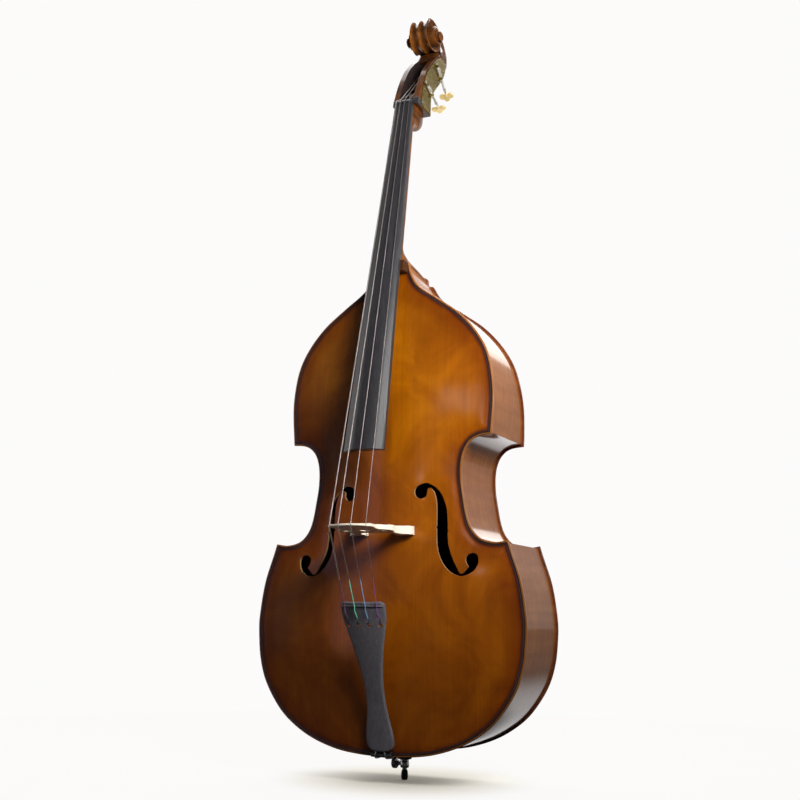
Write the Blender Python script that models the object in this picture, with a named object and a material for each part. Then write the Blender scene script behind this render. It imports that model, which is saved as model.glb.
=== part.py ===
"""Three-quarter size double bass, built as the separate pieces a maker assembles.

Metres. The origin is the floor point under the endpin's rubber tip, +Z runs up the neck,
the front faces -Y and +X is the treble side. Pieces that touch keep GAP between them.
"""
import bpy
import bmesh
from math import atan2, ceil, cos, exp, hypot, pi, radians, sin, sqrt
from mathutils import Matrix, Vector
from mathutils.bvhtree import BVHTree
from mathutils.geometry import delaunay_2d_cdt

GAP = 0.0003

# ---- body -----------------------------------------------------------------------------
BODY_BOTTOM = 0.058
BODY_TOP = 1.162
RIB_FRONT = -0.102           # front edge of the ribs, where the table is glued
RIB_BACK = 0.094             # back edge of the ribs below the break
BREAK_Z = 0.767              # the flat back bends forward above this height
BREAK_SLOPE = 0.2
PLATE = 0.006                # thickness of the table and of the back
ARCH = 0.020                 # how far the table rises above its edge
ARCH_REACH = 0.165           # distance from the edge at which it is fully risen
OVERHANG = 0.005             # the plates' edges stand this far outside the ribs
RIB = 0.003
LINING = (0.006, 0.018)      # thickness and width
BODY_STEP = 0.026            # spacing of the points along the outline
GRID = 0.042                 # spacing of the points on the arched table

# Half outline (x, z): from the neck down the treble side to the endpin, as three bouts.
UPPER_BOUT = [(0.046, 1.162), (0.0494, 1.141), (0.0685, 1.107), (0.119, 1.070), (0.170, 1.032),
              (0.208, 0.991), (0.234, 0.949), (0.248, 0.906), (0.2555, 0.840), (0.250, 0.749)]
CENTRE_BOUT = [(0.250, 0.749), (0.222, 0.746), (0.204, 0.738), (0.189, 0.720), (0.1805, 0.690),
               (0.180, 0.650), (0.185, 0.615), (0.194, 0.569), (0.205, 0.543), (0.2255, 0.523),
               (0.257, 0.515), (0.288, 0.5185)]
LOWER_BOUT = [(0.288, 0.5185), (0.294, 0.499), (0.3165, 0.430), (0.3285, 0.352), (0.3285, 0.315),
              (0.322, 0.258), (0.3057, 0.208), (0.272, 0.156), (0.238, 0.123), (0.185, 0.091),
              (0.120, 0.069), (0.057, 0.060), (0.0, BODY_BOTTOM)]
BUTTON = (0.025, 0.019)      # half width and height of the back's tongue under the heel

# Treble f-hole (x, z), one closed curve from its crest round the outer edge and both eyes.
F_HOLE = [(0.098, 0.647), (0.1187, 0.638), (0.1335, 0.619), (0.145, 0.572), (0.148, 0.506),
          (0.1566, 0.471), (0.176, 0.450), (0.1925, 0.462), (0.1896, 0.4806), (0.2037, 0.4935),
          (0.2178, 0.482), (0.216, 0.468), (0.204, 0.449), (0.180, 0.4426), (0.157, 0.450),
          (0.1386, 0.468), (0.1265, 0.506), (0.125, 0.556), (0.120, 0.618), (0.104, 0.640),
          (0.092, 0.631), (0.0895, 0.621), (0.0795, 0.613), (0.069, 0.6235), (0.078, 0.638)]

# ---- bridge, bar, post and braces -----------------------------------------------------
BRIDGE_Z = 0.541
BRIDGE_CROWN = -0.3074
BRIDGE_RADIUS = 0.067
BRIDGE_THICK = (0.022, 0.005)     # at the feet and at the top
FOOT = (0.036, 0.076)             # inner and outer x of a foot
BAR = (-0.050, 0.022, 0.036)      # x, width and depth of the bass bar
BAR_SPAN = (0.270, 0.930)
POST = (0.052, 0.516, 0.009)      # x, z, radius
BRACES = {"lower": 0.300, "middle": 0.516, "upper": 0.735}
BRACE = (0.026, 0.018)            # width and depth

# ---- neck and strings -----------------------------------------------------------------
NUT_Z = 1.588
BOARD_END_Z = 0.707
BOARD_UNDER = (-0.050, 0.194)     # y of the board's underside at the nut, and its slope
BOARD_CROWN = (-0.0645, 0.214)    # y of the board's crown at the nut, and its slope
BOARD_HALF = (0.023, 0.0295)      # half width at the nut, and its growth per metre
BOARD_RADIUS = 0.062
NECK_DEPTH = 0.0275
STRINGS = {"E": (-0.043, -0.0175, 0.00135), "A": (-0.015, -0.0058, 0.00110),
           "D": (0.015, 0.0058, 0.00085), "G": (0.043, 0.0175, 0.00065)}   # x at bridge, nut, radius

# ---- head -----------------------------------------------------------------------------
CHEEK_X = 0.033
SLOT_X = 0.0195
PEGBOX = [(-0.0497, 1.5883), (-0.046, 1.606), (-0.024, 1.656), (0.004, 1.702), (0.027, 1.730),
          (0.068, 1.766), (0.095, 1.778), (0.120, 1.768), (0.109, 1.733), (0.0895, 1.706),
          (0.048, 1.661), (0.030, 1.635), (0.027, 1.585)]
TROUGH = [(-0.070, 1.6035), (-0.020, 1.600), (0.014, 1.602), (0.017, 1.632), (0.036, 1.655),
          (0.077, 1.700), (0.095, 1.728), (0.099, 1.748), (0.080, 1.757), (0.040, 1.775),
          (-0.030, 1.710), (-0.070, 1.640)]
CHIN = [(-0.030, 1.600), (-0.032, 1.535), (0.002, 1.546), (0.022, 1.556), (0.034, 1.570),
        (0.037, 1.592), (0.028, 1.612)]
CHIN_HALF = 0.020
VOLUTE_CENTRE = (0.062, 1.810)
VOLUTE_START = (radians(-35), 0.0755)
VOLUTE_SHRINK = 0.115            # radius lost per radian, as a fraction
VOLUTE_STEPS = [(0.0210, None), (0.0290, 0.035), (0.045, 0.016)]   # half width, radius

# ---- tuning machines (y, z) -----------------------------------------------------------
PLATE_X = (0.0333, 0.0348)
MACHINE_PLATE = [(-0.029, 1.5935), (-0.018, 1.654), (0.0085, 1.699), (0.031, 1.726), (0.070, 1.760),
                 (0.096, 1.771), (0.118, 1.765), (0.107, 1.734), (0.088, 1.707), (0.0465, 1.662),
                 (0.0285, 1.6355), (0.025, 1.587)]
SHAFT_X = 0.0385
SHAFT_R = 0.003
WORM_R = 0.0052
WORM_HALF = 0.011
GEAR_R = 0.015
GEAR_X = (0.0275, 0.033)
GEAR_OFFSET = 0.019
GEAR_TEETH = 28
ROLLER_R = 0.0065
JOURNAL_R = 0.0045
SHAFT_LENGTH = 0.0775
TUNERS = {"E": (-1, (-0.0165, 1.6295), (0.905, -0.425), 0.022),
          "A": (-1, (0.0162, 1.6976), (0.800, -0.600), 0.022),
          "D": (1, (0.0480, 1.7360), (0.727, -0.687), 0.022),
          "G": (1, (-0.0147, 1.6580), (0.905, -0.425), 0.024)}   # side, start, direction, worm at

# ---- tailpiece and endpin -------------------------------------------------------------
TAIL_TOP = (-0.231, 0.385)        # (y, z) of the tailpiece's upper surface at its top edge
TAIL_KNEE = (-0.153, 0.180)
TAIL_FOOT = (-0.125, 0.071)
TAIL_THICK = 0.009
TAIL_HALF = [(0.385, 0.050), (0.372, 0.0535), (0.340, 0.049), (0.290, 0.036), (0.245, 0.026),
             (0.210, 0.0225), (0.175, 0.0225), (0.140, 0.027), (0.110, 0.032), (0.090, 0.033),
             (0.078, 0.028), (0.071, 0.016)]
TAIL_HOLE_Z = 0.336
TAIL_HOLES = {"E": -0.038, "A": -0.0127, "D": 0.0127, "G": 0.038}
TAIL_HOLE_R = 0.0035
WIRE_R = 0.0017
SADDLE = (0.024, 0.0115, 0.011)   # half length, width and height
SADDLE_RISE = 0.0016              # how far the table has risen under the saddle
ROD_R = 0.005
ROD_TOP = 0.390
COLLAR_R = 0.016
SHANK_R = 0.0125
CLAMP = (0.026, 0.0437)           # lower and upper z
CLAMP_R = 0.0105
SCREW_Z = 0.035


def smooth_run(knots, step, closed=False):
    """Points spaced about `step` apart on a smooth curve through the knots."""
    n = len(knots)
    pts = [Vector(k) for k in knots]
    spans = n if closed else n - 1
    lengths = [(pts[(i + 1) % n] - pts[i]).length for i in range(spans)]

    def slope(i):
        before = i - 1 if (closed or i > 0) else i
        after = i + 1 if (closed or i < n - 1) else i
        run = sum(lengths[k % spans] for k in range(before, after))
        return (pts[after % n] - pts[before % n]) / run

    out = []
    for i in range(spans):
        a, b, length = pts[i], pts[(i + 1) % n], lengths[i]
        ma, mb = slope(i) * length, slope((i + 1) % n if closed else i + 1) * length
        count = max(1, round(length / step))
        for k in range(count):
            t = k / count
            out.append(a * (2 * t**3 - 3 * t**2 + 1) + ma * (t**3 - 2 * t**2 + t)
                       + b * (3 * t**2 - 2 * t**3) + mb * (t**3 - t**2))
    if not closed:
        out.append(pts[-1])
    return out


def offset_run(run, distance):
    """The run moved inwards, for a run that goes down the treble side."""
    out = []
    for i, p in enumerate(run):
        along = (run[min(i + 1, len(run) - 1)] - run[max(i - 1, 0)]).normalized()
        out.append(p + Vector((along.y, -along.x)) * distance)
    return out


RUNS = {"upper": smooth_run([(0.0, BODY_TOP)] + UPPER_BOUT[:1], 0.05)[:-1]
        + smooth_run(UPPER_BOUT, BODY_STEP),
        "centre": smooth_run(CENTRE_BOUT, BODY_STEP), "lower": smooth_run(LOWER_BOUT, BODY_STEP)}
HALF_OUTLINE = RUNS["upper"] + RUNS["centre"][1:] + RUNS["lower"][1:]


def mirrored(half):
    """The closed outline whose treble half runs from the top centre to the bottom centre."""
    return half + [Vector((-p.x, p.y)) for p in reversed(half) if p.x > 1e-6]


OUTLINE = mirrored(HALF_OUTLINE)


def segment_distance(p, a, b):
    along = b - a
    t = max(0.0, min(1.0, (p - a).dot(along) / along.length_squared))
    return (p - a - along * t).length


def edge_distance(x, z):
    p = Vector((x, z))
    return min(segment_distance(p, a, b) for a, b in zip(OUTLINE, OUTLINE[1:] + OUTLINE[:1]))


def arching(x, z):
    s = min(1.0, edge_distance(x, z) / ARCH_REACH)
    return ARCH * s * s * (3 - 2 * s)


def back_edge(z):
    """y of the ribs' back edge."""
    return RIB_BACK - BREAK_SLOPE * max(0.0, z - BREAK_Z)


def inside(p, loop):
    hit = False
    for a, b in zip(loop, loop[1:] + loop[:1]):
        if (a[1] > p[1]) != (b[1] > p[1]):
            if p[0] < a[0] + (p[1] - a[1]) * (b[0] - a[0]) / (b[1] - a[1]):
                hit = not hit
    return hit


# ---- meshes ---------------------------------------------------------------------------
MATERIALS = {}


def material(name, colour=(0.8, 0.8, 0.8), roughness=0.4, metallic=0.0):
    if name not in MATERIALS:
        made = bpy.data.materials.new(name)
        made.use_nodes = True
        shader = made.node_tree.nodes["Principled BSDF"]
        shader.inputs["Base Color"].default_value = (*colour, 1.0)
        shader.inputs["Roughness"].default_value = roughness
        shader.inputs["Metallic"].default_value = metallic
        MATERIALS[name] = made
    return MATERIALS[name]


def add_object(name, bm, finish, origin=(0, 0, 0)):
    """Closes the mesh's normals outwards and makes the object, with its origin as given."""
    bmesh.ops.recalc_face_normals(bm, faces=bm.faces)
    if bm.calc_volume(signed=True) < 0:
        bmesh.ops.reverse_faces(bm, faces=bm.faces)
    bmesh.ops.translate(bm, verts=bm.verts, vec=-Vector(origin))
    mesh = bpy.data.meshes.new(name)
    bm.to_mesh(mesh)
    bm.free()
    mesh.materials.append(material(finish))
    obj = bpy.data.objects.new(name, mesh)
    obj.location = origin
    bpy.context.scene.collection.objects.link(obj)
    return obj


def as_cutter(obj):
    obj.hide_render = True
    obj.display_type = "WIRE"
    return obj


def boolean(obj, other, operation):
    step = obj.modifiers.new(other.name, "BOOLEAN")
    step.operation = operation
    step.object = as_cutter(other)


def slab(name, finish, outline, front, back, holes=(), extra=(), creases=()):
    """A plate over a 2-D region: front(u, v) and back(u, v) give its two skins in space."""
    points = [Vector(p) for p in outline]
    edges = [(i, (i + 1) % len(outline)) for i in range(len(outline))]
    for hole in holes:
        start = len(points)
        points += [Vector(p) for p in hole]
        edges += [(start + i, start + (i + 1) % len(hole)) for i in range(len(hole))]
    for a, b in creases:
        edges.append((len(points), len(points) + 1))
        points += [Vector(a), Vector(b)]
    points += [Vector(p) for p in extra]
    flat, _, faces, *_ = delaunay_2d_cdt(points, edges, [], 0, 1e-7)
    kept = []
    for face in faces:
        middle = sum((flat[i] for i in face), Vector((0, 0))) / len(face)
        if inside(middle, outline) and not any(inside(middle, hole) for hole in holes):
            kept.append(face)
    bm = bmesh.new()
    used = sorted({i for face in kept for i in face})
    near = {i: bm.verts.new(front(*flat[i])) for i in used}
    far = {i: bm.verts.new(back(*flat[i])) for i in used}
    sides = {}
    for face in kept:
        bm.faces.new([near[i] for i in face])
        bm.faces.new([far[i] for i in reversed(face)])
        for a, b in zip(face, face[1:] + face[:1]):
            key = (min(a, b), max(a, b))
            sides[key] = sides.get(key, 0) + 1
    for (a, b), count in sides.items():
        if count == 1:
            bm.faces.new([near[a], near[b], far[b], far[a]])
    return add_object(name, bm, finish)


def prism(name, finish, outline, half_width):
    """A side profile (y, z) given a half width along X that may depend on y."""
    return slab(name, finish, outline, lambda y, z: (half_width(y), y, z),
                lambda y, z: (-half_width(y), y, z))


def loft(name, finish, rings, origin=(0, 0, 0), closed=False):
    """Joins rings of equal size; the ends are capped unless the rings form a loop."""
    bm = bmesh.new()
    made = [[bm.verts.new(p) for p in ring] for ring in rings]
    pairs = list(zip(made, made[1:] + made[:1])) if closed else list(zip(made, made[1:]))
    for low, high in pairs:
        n = len(low)
        for i in range(n):
            bm.faces.new([low[i], low[(i + 1) % n], high[(i + 1) % n], high[i]])
    if not closed:
        bm.faces.new(list(reversed(made[0])))
        bm.faces.new(made[-1])
    return add_object(name, bm, finish, origin)


def frame_along(direction):
    """Matrix whose Z axis is the direction."""
    return Vector(direction).to_track_quat("Z", "Y").to_matrix()


def turned(name, finish, profile, base=(0, 0, 0), direction=(0, 0, 1), segments=20, bored=False):
    """A profile of (radius, height) turned about an axis; a bored one is a closed profile."""
    turn = frame_along(direction)
    rings = []
    for radius, height in profile:
        ring = [Vector((radius * cos(2 * pi * k / segments), radius * sin(2 * pi * k / segments),
                        height)) for k in range(segments)]
        rings.append([Vector(base) + turn @ p for p in ring])
    return loft(name, finish, rings, origin=base, closed=bored)


def tube(name, finish, path, radius, sides=6):
    """A round wire along a path, its rings set square to the path's bends."""
    pts = [Vector(p) for p in path]
    rings = []
    side = None
    for i, p in enumerate(pts):
        along = (pts[min(i + 1, len(pts) - 1)] - pts[max(i - 1, 0)]).normalized()
        if side is None:
            side = along.orthogonal().normalized()
        side = (side - along * side.dot(along)).normalized()
        other = along.cross(side)
        rings.append([p + (side * cos(a) + other * sin(a)) * radius
                      for a in (2 * pi * k / sides for k in range(sides))])
    return loft(name, finish, rings)


def box(name, finish, low, high):
    corners = [(low[0], low[1]), (high[0], low[1]), (high[0], high[1]), (low[0], high[1])]
    return loft(name, finish, [[(x, y, low[2]) for x, y in corners],
                               [(x, y, high[2]) for x, y in corners]])


# ---- ribs, blocks and linings ---------------------------------------------------------
def corner_plane(first, second):
    """Point and direction of the line that halves the corner where two runs meet."""
    tip = first[-1]
    back = (first[-2] - tip).normalized()
    on = (second[1] - tip).normalized()
    return tip, (back + on).normalized()


CORNERS = {"upper": corner_plane(RUNS["upper"], RUNS["centre"]),
           "lower": corner_plane(RUNS["centre"], RUNS["lower"])}
RUN_ENDS = {"upper": (None, "upper"), "centre": ("upper", "lower"), "lower": ("lower", None)}


def clip_side(point, run_name, end, gap):
    """Signed distance of a point inside the mitre at one end of a run."""
    corner = RUN_ENDS[run_name][end]
    if corner is None:
        return point.x - gap
    tip, along = CORNERS[corner]
    across = Vector((-along.y, along.x))
    middle = RUNS[run_name][len(RUNS[run_name]) // 2]
    if (middle - tip).dot(across) < 0:
        across = -across
    return (point - tip).dot(across) - gap


def clipped(run, run_name, gap):
    """The run cut off at the mitres or at the centre seam, each end on the cut."""
    out = list(run)
    for end in (0, 1):
        if end:
            out.reverse()
        while clip_side(out[1], run_name, end, gap) <= 0:
            out.pop(0)
        a, b = out[0], out[1]
        da, db = (clip_side(p, run_name, end, gap) for p in (a, b))
        out[0] = a + (b - a) * (da / (da - db))
        if end:
            out.reverse()
    return out


def resampled(run, count):
    """The run with `count` points spaced evenly along it."""
    lengths = [0.0]
    for a, b in zip(run, run[1:]):
        lengths.append(lengths[-1] + (b - a).length)
    out, k = [], 0
    for i in range(count):
        target = lengths[-1] * i / (count - 1)
        while k < len(run) - 2 and lengths[k + 1] < target:
            k += 1
        out.append(run[k].lerp(run[k + 1], (target - lengths[k]) / (lengths[k + 1] - lengths[k])))
    return out


def strip_pairs(run_name, outer, inner, gap):
    run = RUNS[run_name]
    count = len(run)
    return list(zip(resampled(clipped(offset_run(run, outer), run_name, gap), count),
                    resampled(clipped(offset_run(run, inner), run_name, gap), count)))


def strip(name, finish, pairs, side, near, far, closed=False):
    """A bent strip between two lines, from near(z) to far(z) along Y."""
    rings = []
    for a, b in pairs:
        rings.append([(side * a.x, near(a.y), a.y), (side * a.x, far(a.y), a.y),
                      (side * b.x, far(b.y), b.y), (side * b.x, near(b.y), b.y)])
    return loft(name, finish, rings, closed=closed)


def make_ribs():
    hole = turned("endpin_hole", "maple", [(SHANK_R + 0.001, 0.0), (SHANK_R + 0.001, 0.12)],
                  base=(0, 0, 0.045))
    for side, label in ((1, "treble"), (-1, "bass")):
        for run_name in RUNS:
            pairs = strip_pairs(run_name, OVERHANG, OVERHANG + RIB, GAP / 2)
            rib = strip(f"rib_{run_name}_{label}", "maple", pairs, side,
                        lambda z: RIB_FRONT + GAP, lambda z: back_edge(z) - GAP)
            if run_name == "lower":
                boolean(rib, hole, "DIFFERENCE")
    return hole


def make_linings():
    depth = OVERHANG + RIB + GAP
    half = []
    for run_name in RUNS:
        pairs = strip_pairs(run_name, depth, depth + LINING[0], 0.0)
        half += pairs if not half else pairs[1:]
    ring = half + [(Vector((-a.x, a.y)), Vector((-b.x, b.y))) for a, b in reversed(half[1:-1])]
    strip("table_linings", "spruce_inner", ring, 1, lambda z: RIB_FRONT + GAP,
          lambda z: RIB_FRONT + GAP + LINING[1], closed=True)
    strip("back_linings", "spruce_inner", ring, 1, lambda z: back_edge(z) - GAP - LINING[1],
          lambda z: back_edge(z) - GAP, closed=True)


BLOCK_NEAR = RIB_FRONT + LINING[1] + 2 * GAP


def block_far(z):
    return back_edge(z) - LINING[1] - 2 * GAP


def make_blocks(endpin_hole):
    depth = OVERHANG + RIB + GAP
    keep = {"upper": 4, "centre": 3, "lower": 4}
    for side, label in ((1, "treble"), (-1, "bass")):
        for corner, (before, after) in {"upper": ("upper", "centre"), "lower": ("centre", "lower")}.items():
            first, second = (offset_run([b for _, b in strip_pairs(r, OVERHANG, OVERHANG + RIB, GAP)], 2 * GAP)
                             for r in (before, after))
            outline = first[-keep[before]:-1] + [(first[-1] + second[0]) / 2] + second[1:keep[after]]
            far = min(block_far(p.y) for p in outline)
            slab(f"corner_block_{corner}_{label}", "spruce_inner",
                 [(side * p.x, p.y) for p in outline],
                 lambda x, z: (x, BLOCK_NEAR, z), lambda x, z, far=far: (x, far, z))
    inner = offset_run([b for _, b in strip_pairs("upper", OVERHANG, OVERHANG + RIB, GAP)], 2 * GAP)
    block_low = 1.095
    half = [p for p in inner if p.y > block_low and p.x > 1e-3]
    outline = half + [Vector((half[-1].x, block_low)), Vector((-half[-1].x, block_low))]
    outline += [Vector((-p.x, p.y)) for p in reversed(half)]
    slab("neck_block", "spruce_inner", outline, lambda x, z: (x, BLOCK_NEAR, z),
         lambda x, z: (x, block_far(z), z))
    end_half, end_top = 0.060, 0.110
    floor = [p for p in offset_run(RUNS["lower"], depth) if p.x < end_half]
    outline = [Vector((-p.x, p.y)) for p in floor] + [p for p in reversed(floor) if p.x > 1e-6]
    outline = [(p.x, p.y + GAP) for p in outline] + [(end_half, end_top), (-end_half, end_top)]
    block = slab("end_block", "spruce_inner", outline, lambda x, z: (x, BLOCK_NEAR, z),
                 lambda x, z: (x, block_far(z), z))
    boolean(block, endpin_hole, "DIFFERENCE")


# ---- plates ---------------------------------------------------------------------------
def table_outer(x, z):
    return RIB_FRONT - PLATE - arching(x, z)


def f_hole(side):
    return [Vector((side * p.x, p.y)) for p in smooth_run(F_HOLE, 0.016, closed=True)]


def make_table():
    rows = ceil((BODY_TOP - BODY_BOTTOM) / (GRID * sqrt(3) / 2))
    grid = []
    holes = [f_hole(1), f_hole(-1)]
    for r in range(rows):
        z = BODY_BOTTOM + r * GRID * sqrt(3) / 2
        for c in range(-9, 10):
            x = (c + 0.5 * (r % 2)) * GRID
            close = min((min((Vector((x, z)) - p).length for p in hole) for hole in holes))
            if inside((x, z), OUTLINE) and edge_distance(x, z) > GRID / 2 and close > GRID / 4:
                grid.append((x, z))
    return slab("table", "spruce", OUTLINE, lambda x, z: (x, table_outer(x, z), z),
                lambda x, z: (x, table_outer(x, z) + PLATE, z), holes=holes, extra=grid)


def make_back():
    half_width, height = BUTTON
    arc = [Vector((half_width * sin(a), BODY_TOP + 0.004 + (height - 0.004) * cos(a)))
           for a in (radians(18 * k) for k in range(6))]
    half = arc + [Vector((half_width, BODY_TOP))] + HALF_OUTLINE[1:]
    outline = mirrored([Vector((0.0, arc[0].y))] + half[1:])
    reach = max(p.x for p in HALF_OUTLINE if abs(p.y - BREAK_Z) < BODY_STEP) + 0.01
    return slab("back", "maple", outline, lambda x, z: (x, back_edge(z), z),
                lambda x, z: (x, back_edge(z) + PLATE, z),
                creases=[((-reach, BREAK_Z), (reach, BREAK_Z))])


def surface(obj, x, z, from_y, towards):
    """y where a line along Y first meets the object."""
    tree = BVHTree.FromPolygons([obj.matrix_world @ v.co for v in obj.data.vertices],
                                [p.vertices for p in obj.data.polygons])
    return tree.ray_cast(Vector((x, from_y, z)), Vector((0, towards, 0)))[0].y


def make_inside(table):
    x, width, depth = BAR
    low, high = BAR_SPAN
    rings = []
    count = 17
    for i in range(count):
        t = i / (count - 1)
        z = low + (high - low) * t
        near = max(surface(table, x + dx, z + dz, 0.0, -1) for dx in (-width / 2, 0, width / 2)
                   for dz in (-0.02, 0, 0.02)) + 2 * GAP
        far = near + 0.008 + (depth - 0.008) * sin(pi * t) ** 0.7
        rings.append([(x - width / 2, near, z), (x + width / 2, near, z),
                      (x + width / 2, far, z), (x - width / 2, far, z)])
    loft("bass_bar", "spruce_inner", rings)
    for label, z in BRACES.items():
        half = min(p.x for p in HALF_OUTLINE if abs(p.y - z) < 0.03) - 0.030
        box(f"back_brace_{label}", "spruce_inner",
            (-half, RIB_BACK - GAP - BRACE[1], z - BRACE[0] / 2), (half, RIB_BACK - GAP, z + BRACE[0] / 2))
    x, z, radius = POST
    near = max(surface(table, x + dx, z + dz, 0.0, -1) for dx in (-radius, 0, radius)
               for dz in (-radius, 0, radius)) + GAP
    far = RIB_BACK - BRACE[1] - 2 * GAP
    turned("sound_post", "spruce_inner", [(radius, 0.0), (radius, far - near)],
           base=(x, near, z), direction=(0, 1, 0), segments=16)


# ---- bridge ---------------------------------------------------------------------------
def make_bridge(table):
    inner, outer = FOOT
    ground = {}
    for x in (inner, outer):
        ground[x] = min(surface(table, px, BRIDGE_Z + dz, -0.5, 1) for px in (inner, 0.056, outer)
                        for dz in (-0.011, 0, 0.011)) - GAP
    centre = BRIDGE_CROWN + BRIDGE_RADIUS
    half = [(BRIDGE_RADIUS * sin(a), centre - BRIDGE_RADIUS * cos(a))
            for a in (radians(8 * k) for k in range(7))]
    half += [(0.052, -0.280), (0.049, -0.256), (0.045, -0.243), (0.050, -0.228), (0.063, -0.212),
             (0.064, -0.196), (0.056, -0.186), (0.053, -0.168), (0.058, -0.152), (outer, -0.142),
             (outer, ground[outer]), (inner, ground[inner]), (0.038, -0.143), (0.037, -0.160),
             (0.026, -0.176), (0.0, -0.182)]
    outline = half + [(-x, y) for x, y in reversed(half) if x > 1e-6]
    heart = [(0.014 * sin(a), -0.214 + 0.011 * cos(a)) for a in (radians(36 * k) for k in range(10))]

    def half_thickness(y):
        t = (y - ground[inner]) / (BRIDGE_CROWN - ground[inner])
        return (BRIDGE_THICK[0] + (BRIDGE_THICK[1] - BRIDGE_THICK[0]) * t) / 2

    return slab("bridge", "bridge_maple", outline, lambda x, y: (x, y, BRIDGE_Z + half_thickness(y)),
                lambda x, y: (x, y, BRIDGE_Z - half_thickness(y)), holes=[heart])


# ---- neck, board and nut --------------------------------------------------------------
def board_under(z):
    return BOARD_UNDER[0] - BOARD_UNDER[1] * (NUT_Z - z)


def board_half(z):
    return BOARD_HALF[0] + BOARD_HALF[1] * (NUT_Z - z)


def board_ring(z, lift=0.0):
    half, crown = board_half(z), BOARD_CROWN[0] - BOARD_CROWN[1] * (NUT_Z - z) - lift
    centre, reach = crown + BOARD_RADIUS, atan2(half, sqrt(BOARD_RADIUS**2 - half**2))
    arc = [reach * (1 - k / 4) for k in range(9)]
    return ([(-half, board_under(z), z), (half, board_under(z), z)]
            + [(BOARD_RADIUS * sin(a), centre - BOARD_RADIUS * cos(a), z) for a in arc])


def make_board():
    loft("fingerboard", "ebony", [board_ring(BOARD_END_Z), board_ring(NUT_Z - GAP)])
    loft("nut", "ebony", [board_ring(NUT_Z, 0.0008), board_ring(NUT_Z + 0.007, 0.0002)])


def neck_ring(z):
    half, near = board_half(z), board_under(z) + GAP
    ring = [(-half, near, z), (half, near, z)]
    ring += [(half * cos(a), near + 0.006 + (NECK_DEPTH - 0.006) * sin(a), z)
             for a in (radians(22.5 * k) for k in range(9))]
    return ring


def volute_outline():
    start, radius = VOLUTE_START
    cy, cz = VOLUTE_CENTRE
    turns = [start + radians(15 * k) for k in range(21)]
    spiral = [(cy + radius * exp(-VOLUTE_SHRINK * (a - start)) * cos(a),
               cz + radius * exp(-VOLUTE_SHRINK * (a - start)) * sin(a)) for a in turns]
    return spiral + [(0.066, 1.757), (0.112, 1.757)]


def tuner_frame(name):
    """Worm centre, shaft direction and roller axis point of one tuner, as (y, z) vectors."""
    side, start, along, worm_at = TUNERS[name]
    along = Vector(along).normalized()
    across = Vector((-along.y, along.x))
    worm = Vector(start) + along * worm_at
    return side, Vector(start), along, worm, worm + across * GEAR_OFFSET


def make_neck():
    stations = [1.170 + (NUT_Z + 0.014 - 1.170) * k / 4 for k in range(5)]
    neck = loft("neck", "maple_dark", [neck_ring(z) for z in stations])
    plate_top, rib_top = BODY_TOP + GAP, BODY_TOP - OVERHANG + GAP
    heel = [(board_under(1.232) + GAP, 1.232), (board_under(plate_top) + GAP, plate_top),
            (RIB_FRONT + GAP, plate_top), (RIB_FRONT + GAP, rib_top),
            (back_edge(rib_top) - GAP, rib_top), (back_edge(1.170) - GAP, 1.170), (-0.010, 1.180),
            (-0.070, 1.189), (-0.090, 1.197), (-0.098, 1.212), (-0.098, 1.232)]
    parts = [prism("heel", "maple_dark", heel, lambda y: 0.0345 - 0.07 * (y + 0.13)),
             prism("pegbox", "maple_dark", PEGBOX, lambda y: CHEEK_X),
             prism("chin", "maple_dark", CHIN, lambda y: CHIN_HALF)]
    cy, cz = VOLUTE_CENTRE
    for half_width, radius in VOLUTE_STEPS:
        if radius is None:
            parts.append(prism("volute", "maple_dark", volute_outline(), lambda y: half_width))
        else:
            parts.append(turned(f"volute_turn_{round(radius * 1000)}", "maple_dark",
                                [(radius, -half_width), (radius * 0.93, half_width)],
                                base=(0, cy, cz), direction=(1, 0, 0), segments=24))
    for other in parts:
        boolean(neck, other, "UNION")
    boolean(neck, prism("trough", "maple_dark", TROUGH, lambda y: SLOT_X), "DIFFERENCE")
    for name in TUNERS:
        side, _, _, _, roller = tuner_frame(name)
        axis = (side, 0, 0)
        recess_x = GEAR_X[0] - 0.0005
        well = [(JOURNAL_R + GAP, -0.0295), (JOURNAL_R + GAP, recess_x), (GEAR_R + 0.0015, recess_x),
                (GEAR_R + 0.0015, 0.045)]
        boolean(neck, turned(f"gear_well_{name}", "maple_dark", well, base=(0, *roller),
                             direction=axis, segments=18), "DIFFERENCE")
    return neck


# ---- tuning machines ------------------------------------------------------------------
def slot_loop(worm, along):
    across = Vector((-along.y, along.x))
    long_half, wide_half = WORM_HALF + 0.0005, 0.0062
    return [worm + along * (long_half * a) + across * (wide_half * b)
            for a, b in ((-1, -1), (1, -1), (1, 1), (-1, 1))]


def make_machine_plate(side, label):
    names = [n for n in TUNERS if TUNERS[n][0] == side]
    slots = [slot_loop(tuner_frame(n)[3], tuner_frame(n)[2]) for n in names]
    plate = slab(f"machine_plate_{label}", "brass", [Vector(p) for p in MACHINE_PLATE],
                 lambda y, z: (side * PLATE_X[0], y, z), lambda y, z: (side * PLATE_X[1], y, z),
                 holes=slots)
    for name in names:
        _, _, along, worm, _ = tuner_frame(name)
        for end in (-1, 1):
            foot = worm + along * (end * (WORM_HALF + 0.0058))
            post = turned(f"bearing_post_{name}_{end}", "brass", [(0.0048, 0.0), (0.0048, 0.0095)],
                          base=(side * (PLATE_X[1] - 0.0008), *foot), direction=(side, 0, 0),
                          segments=12)
            boolean(plate, post, "UNION")
        bore = turned(f"shaft_bore_{name}", "brass", [(SHAFT_R + GAP, -0.025), (SHAFT_R + GAP, 0.025)],
                      base=(side * SHAFT_X, *worm), direction=(0, *along), segments=12)
        boolean(plate, bore, "DIFFERENCE")


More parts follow.
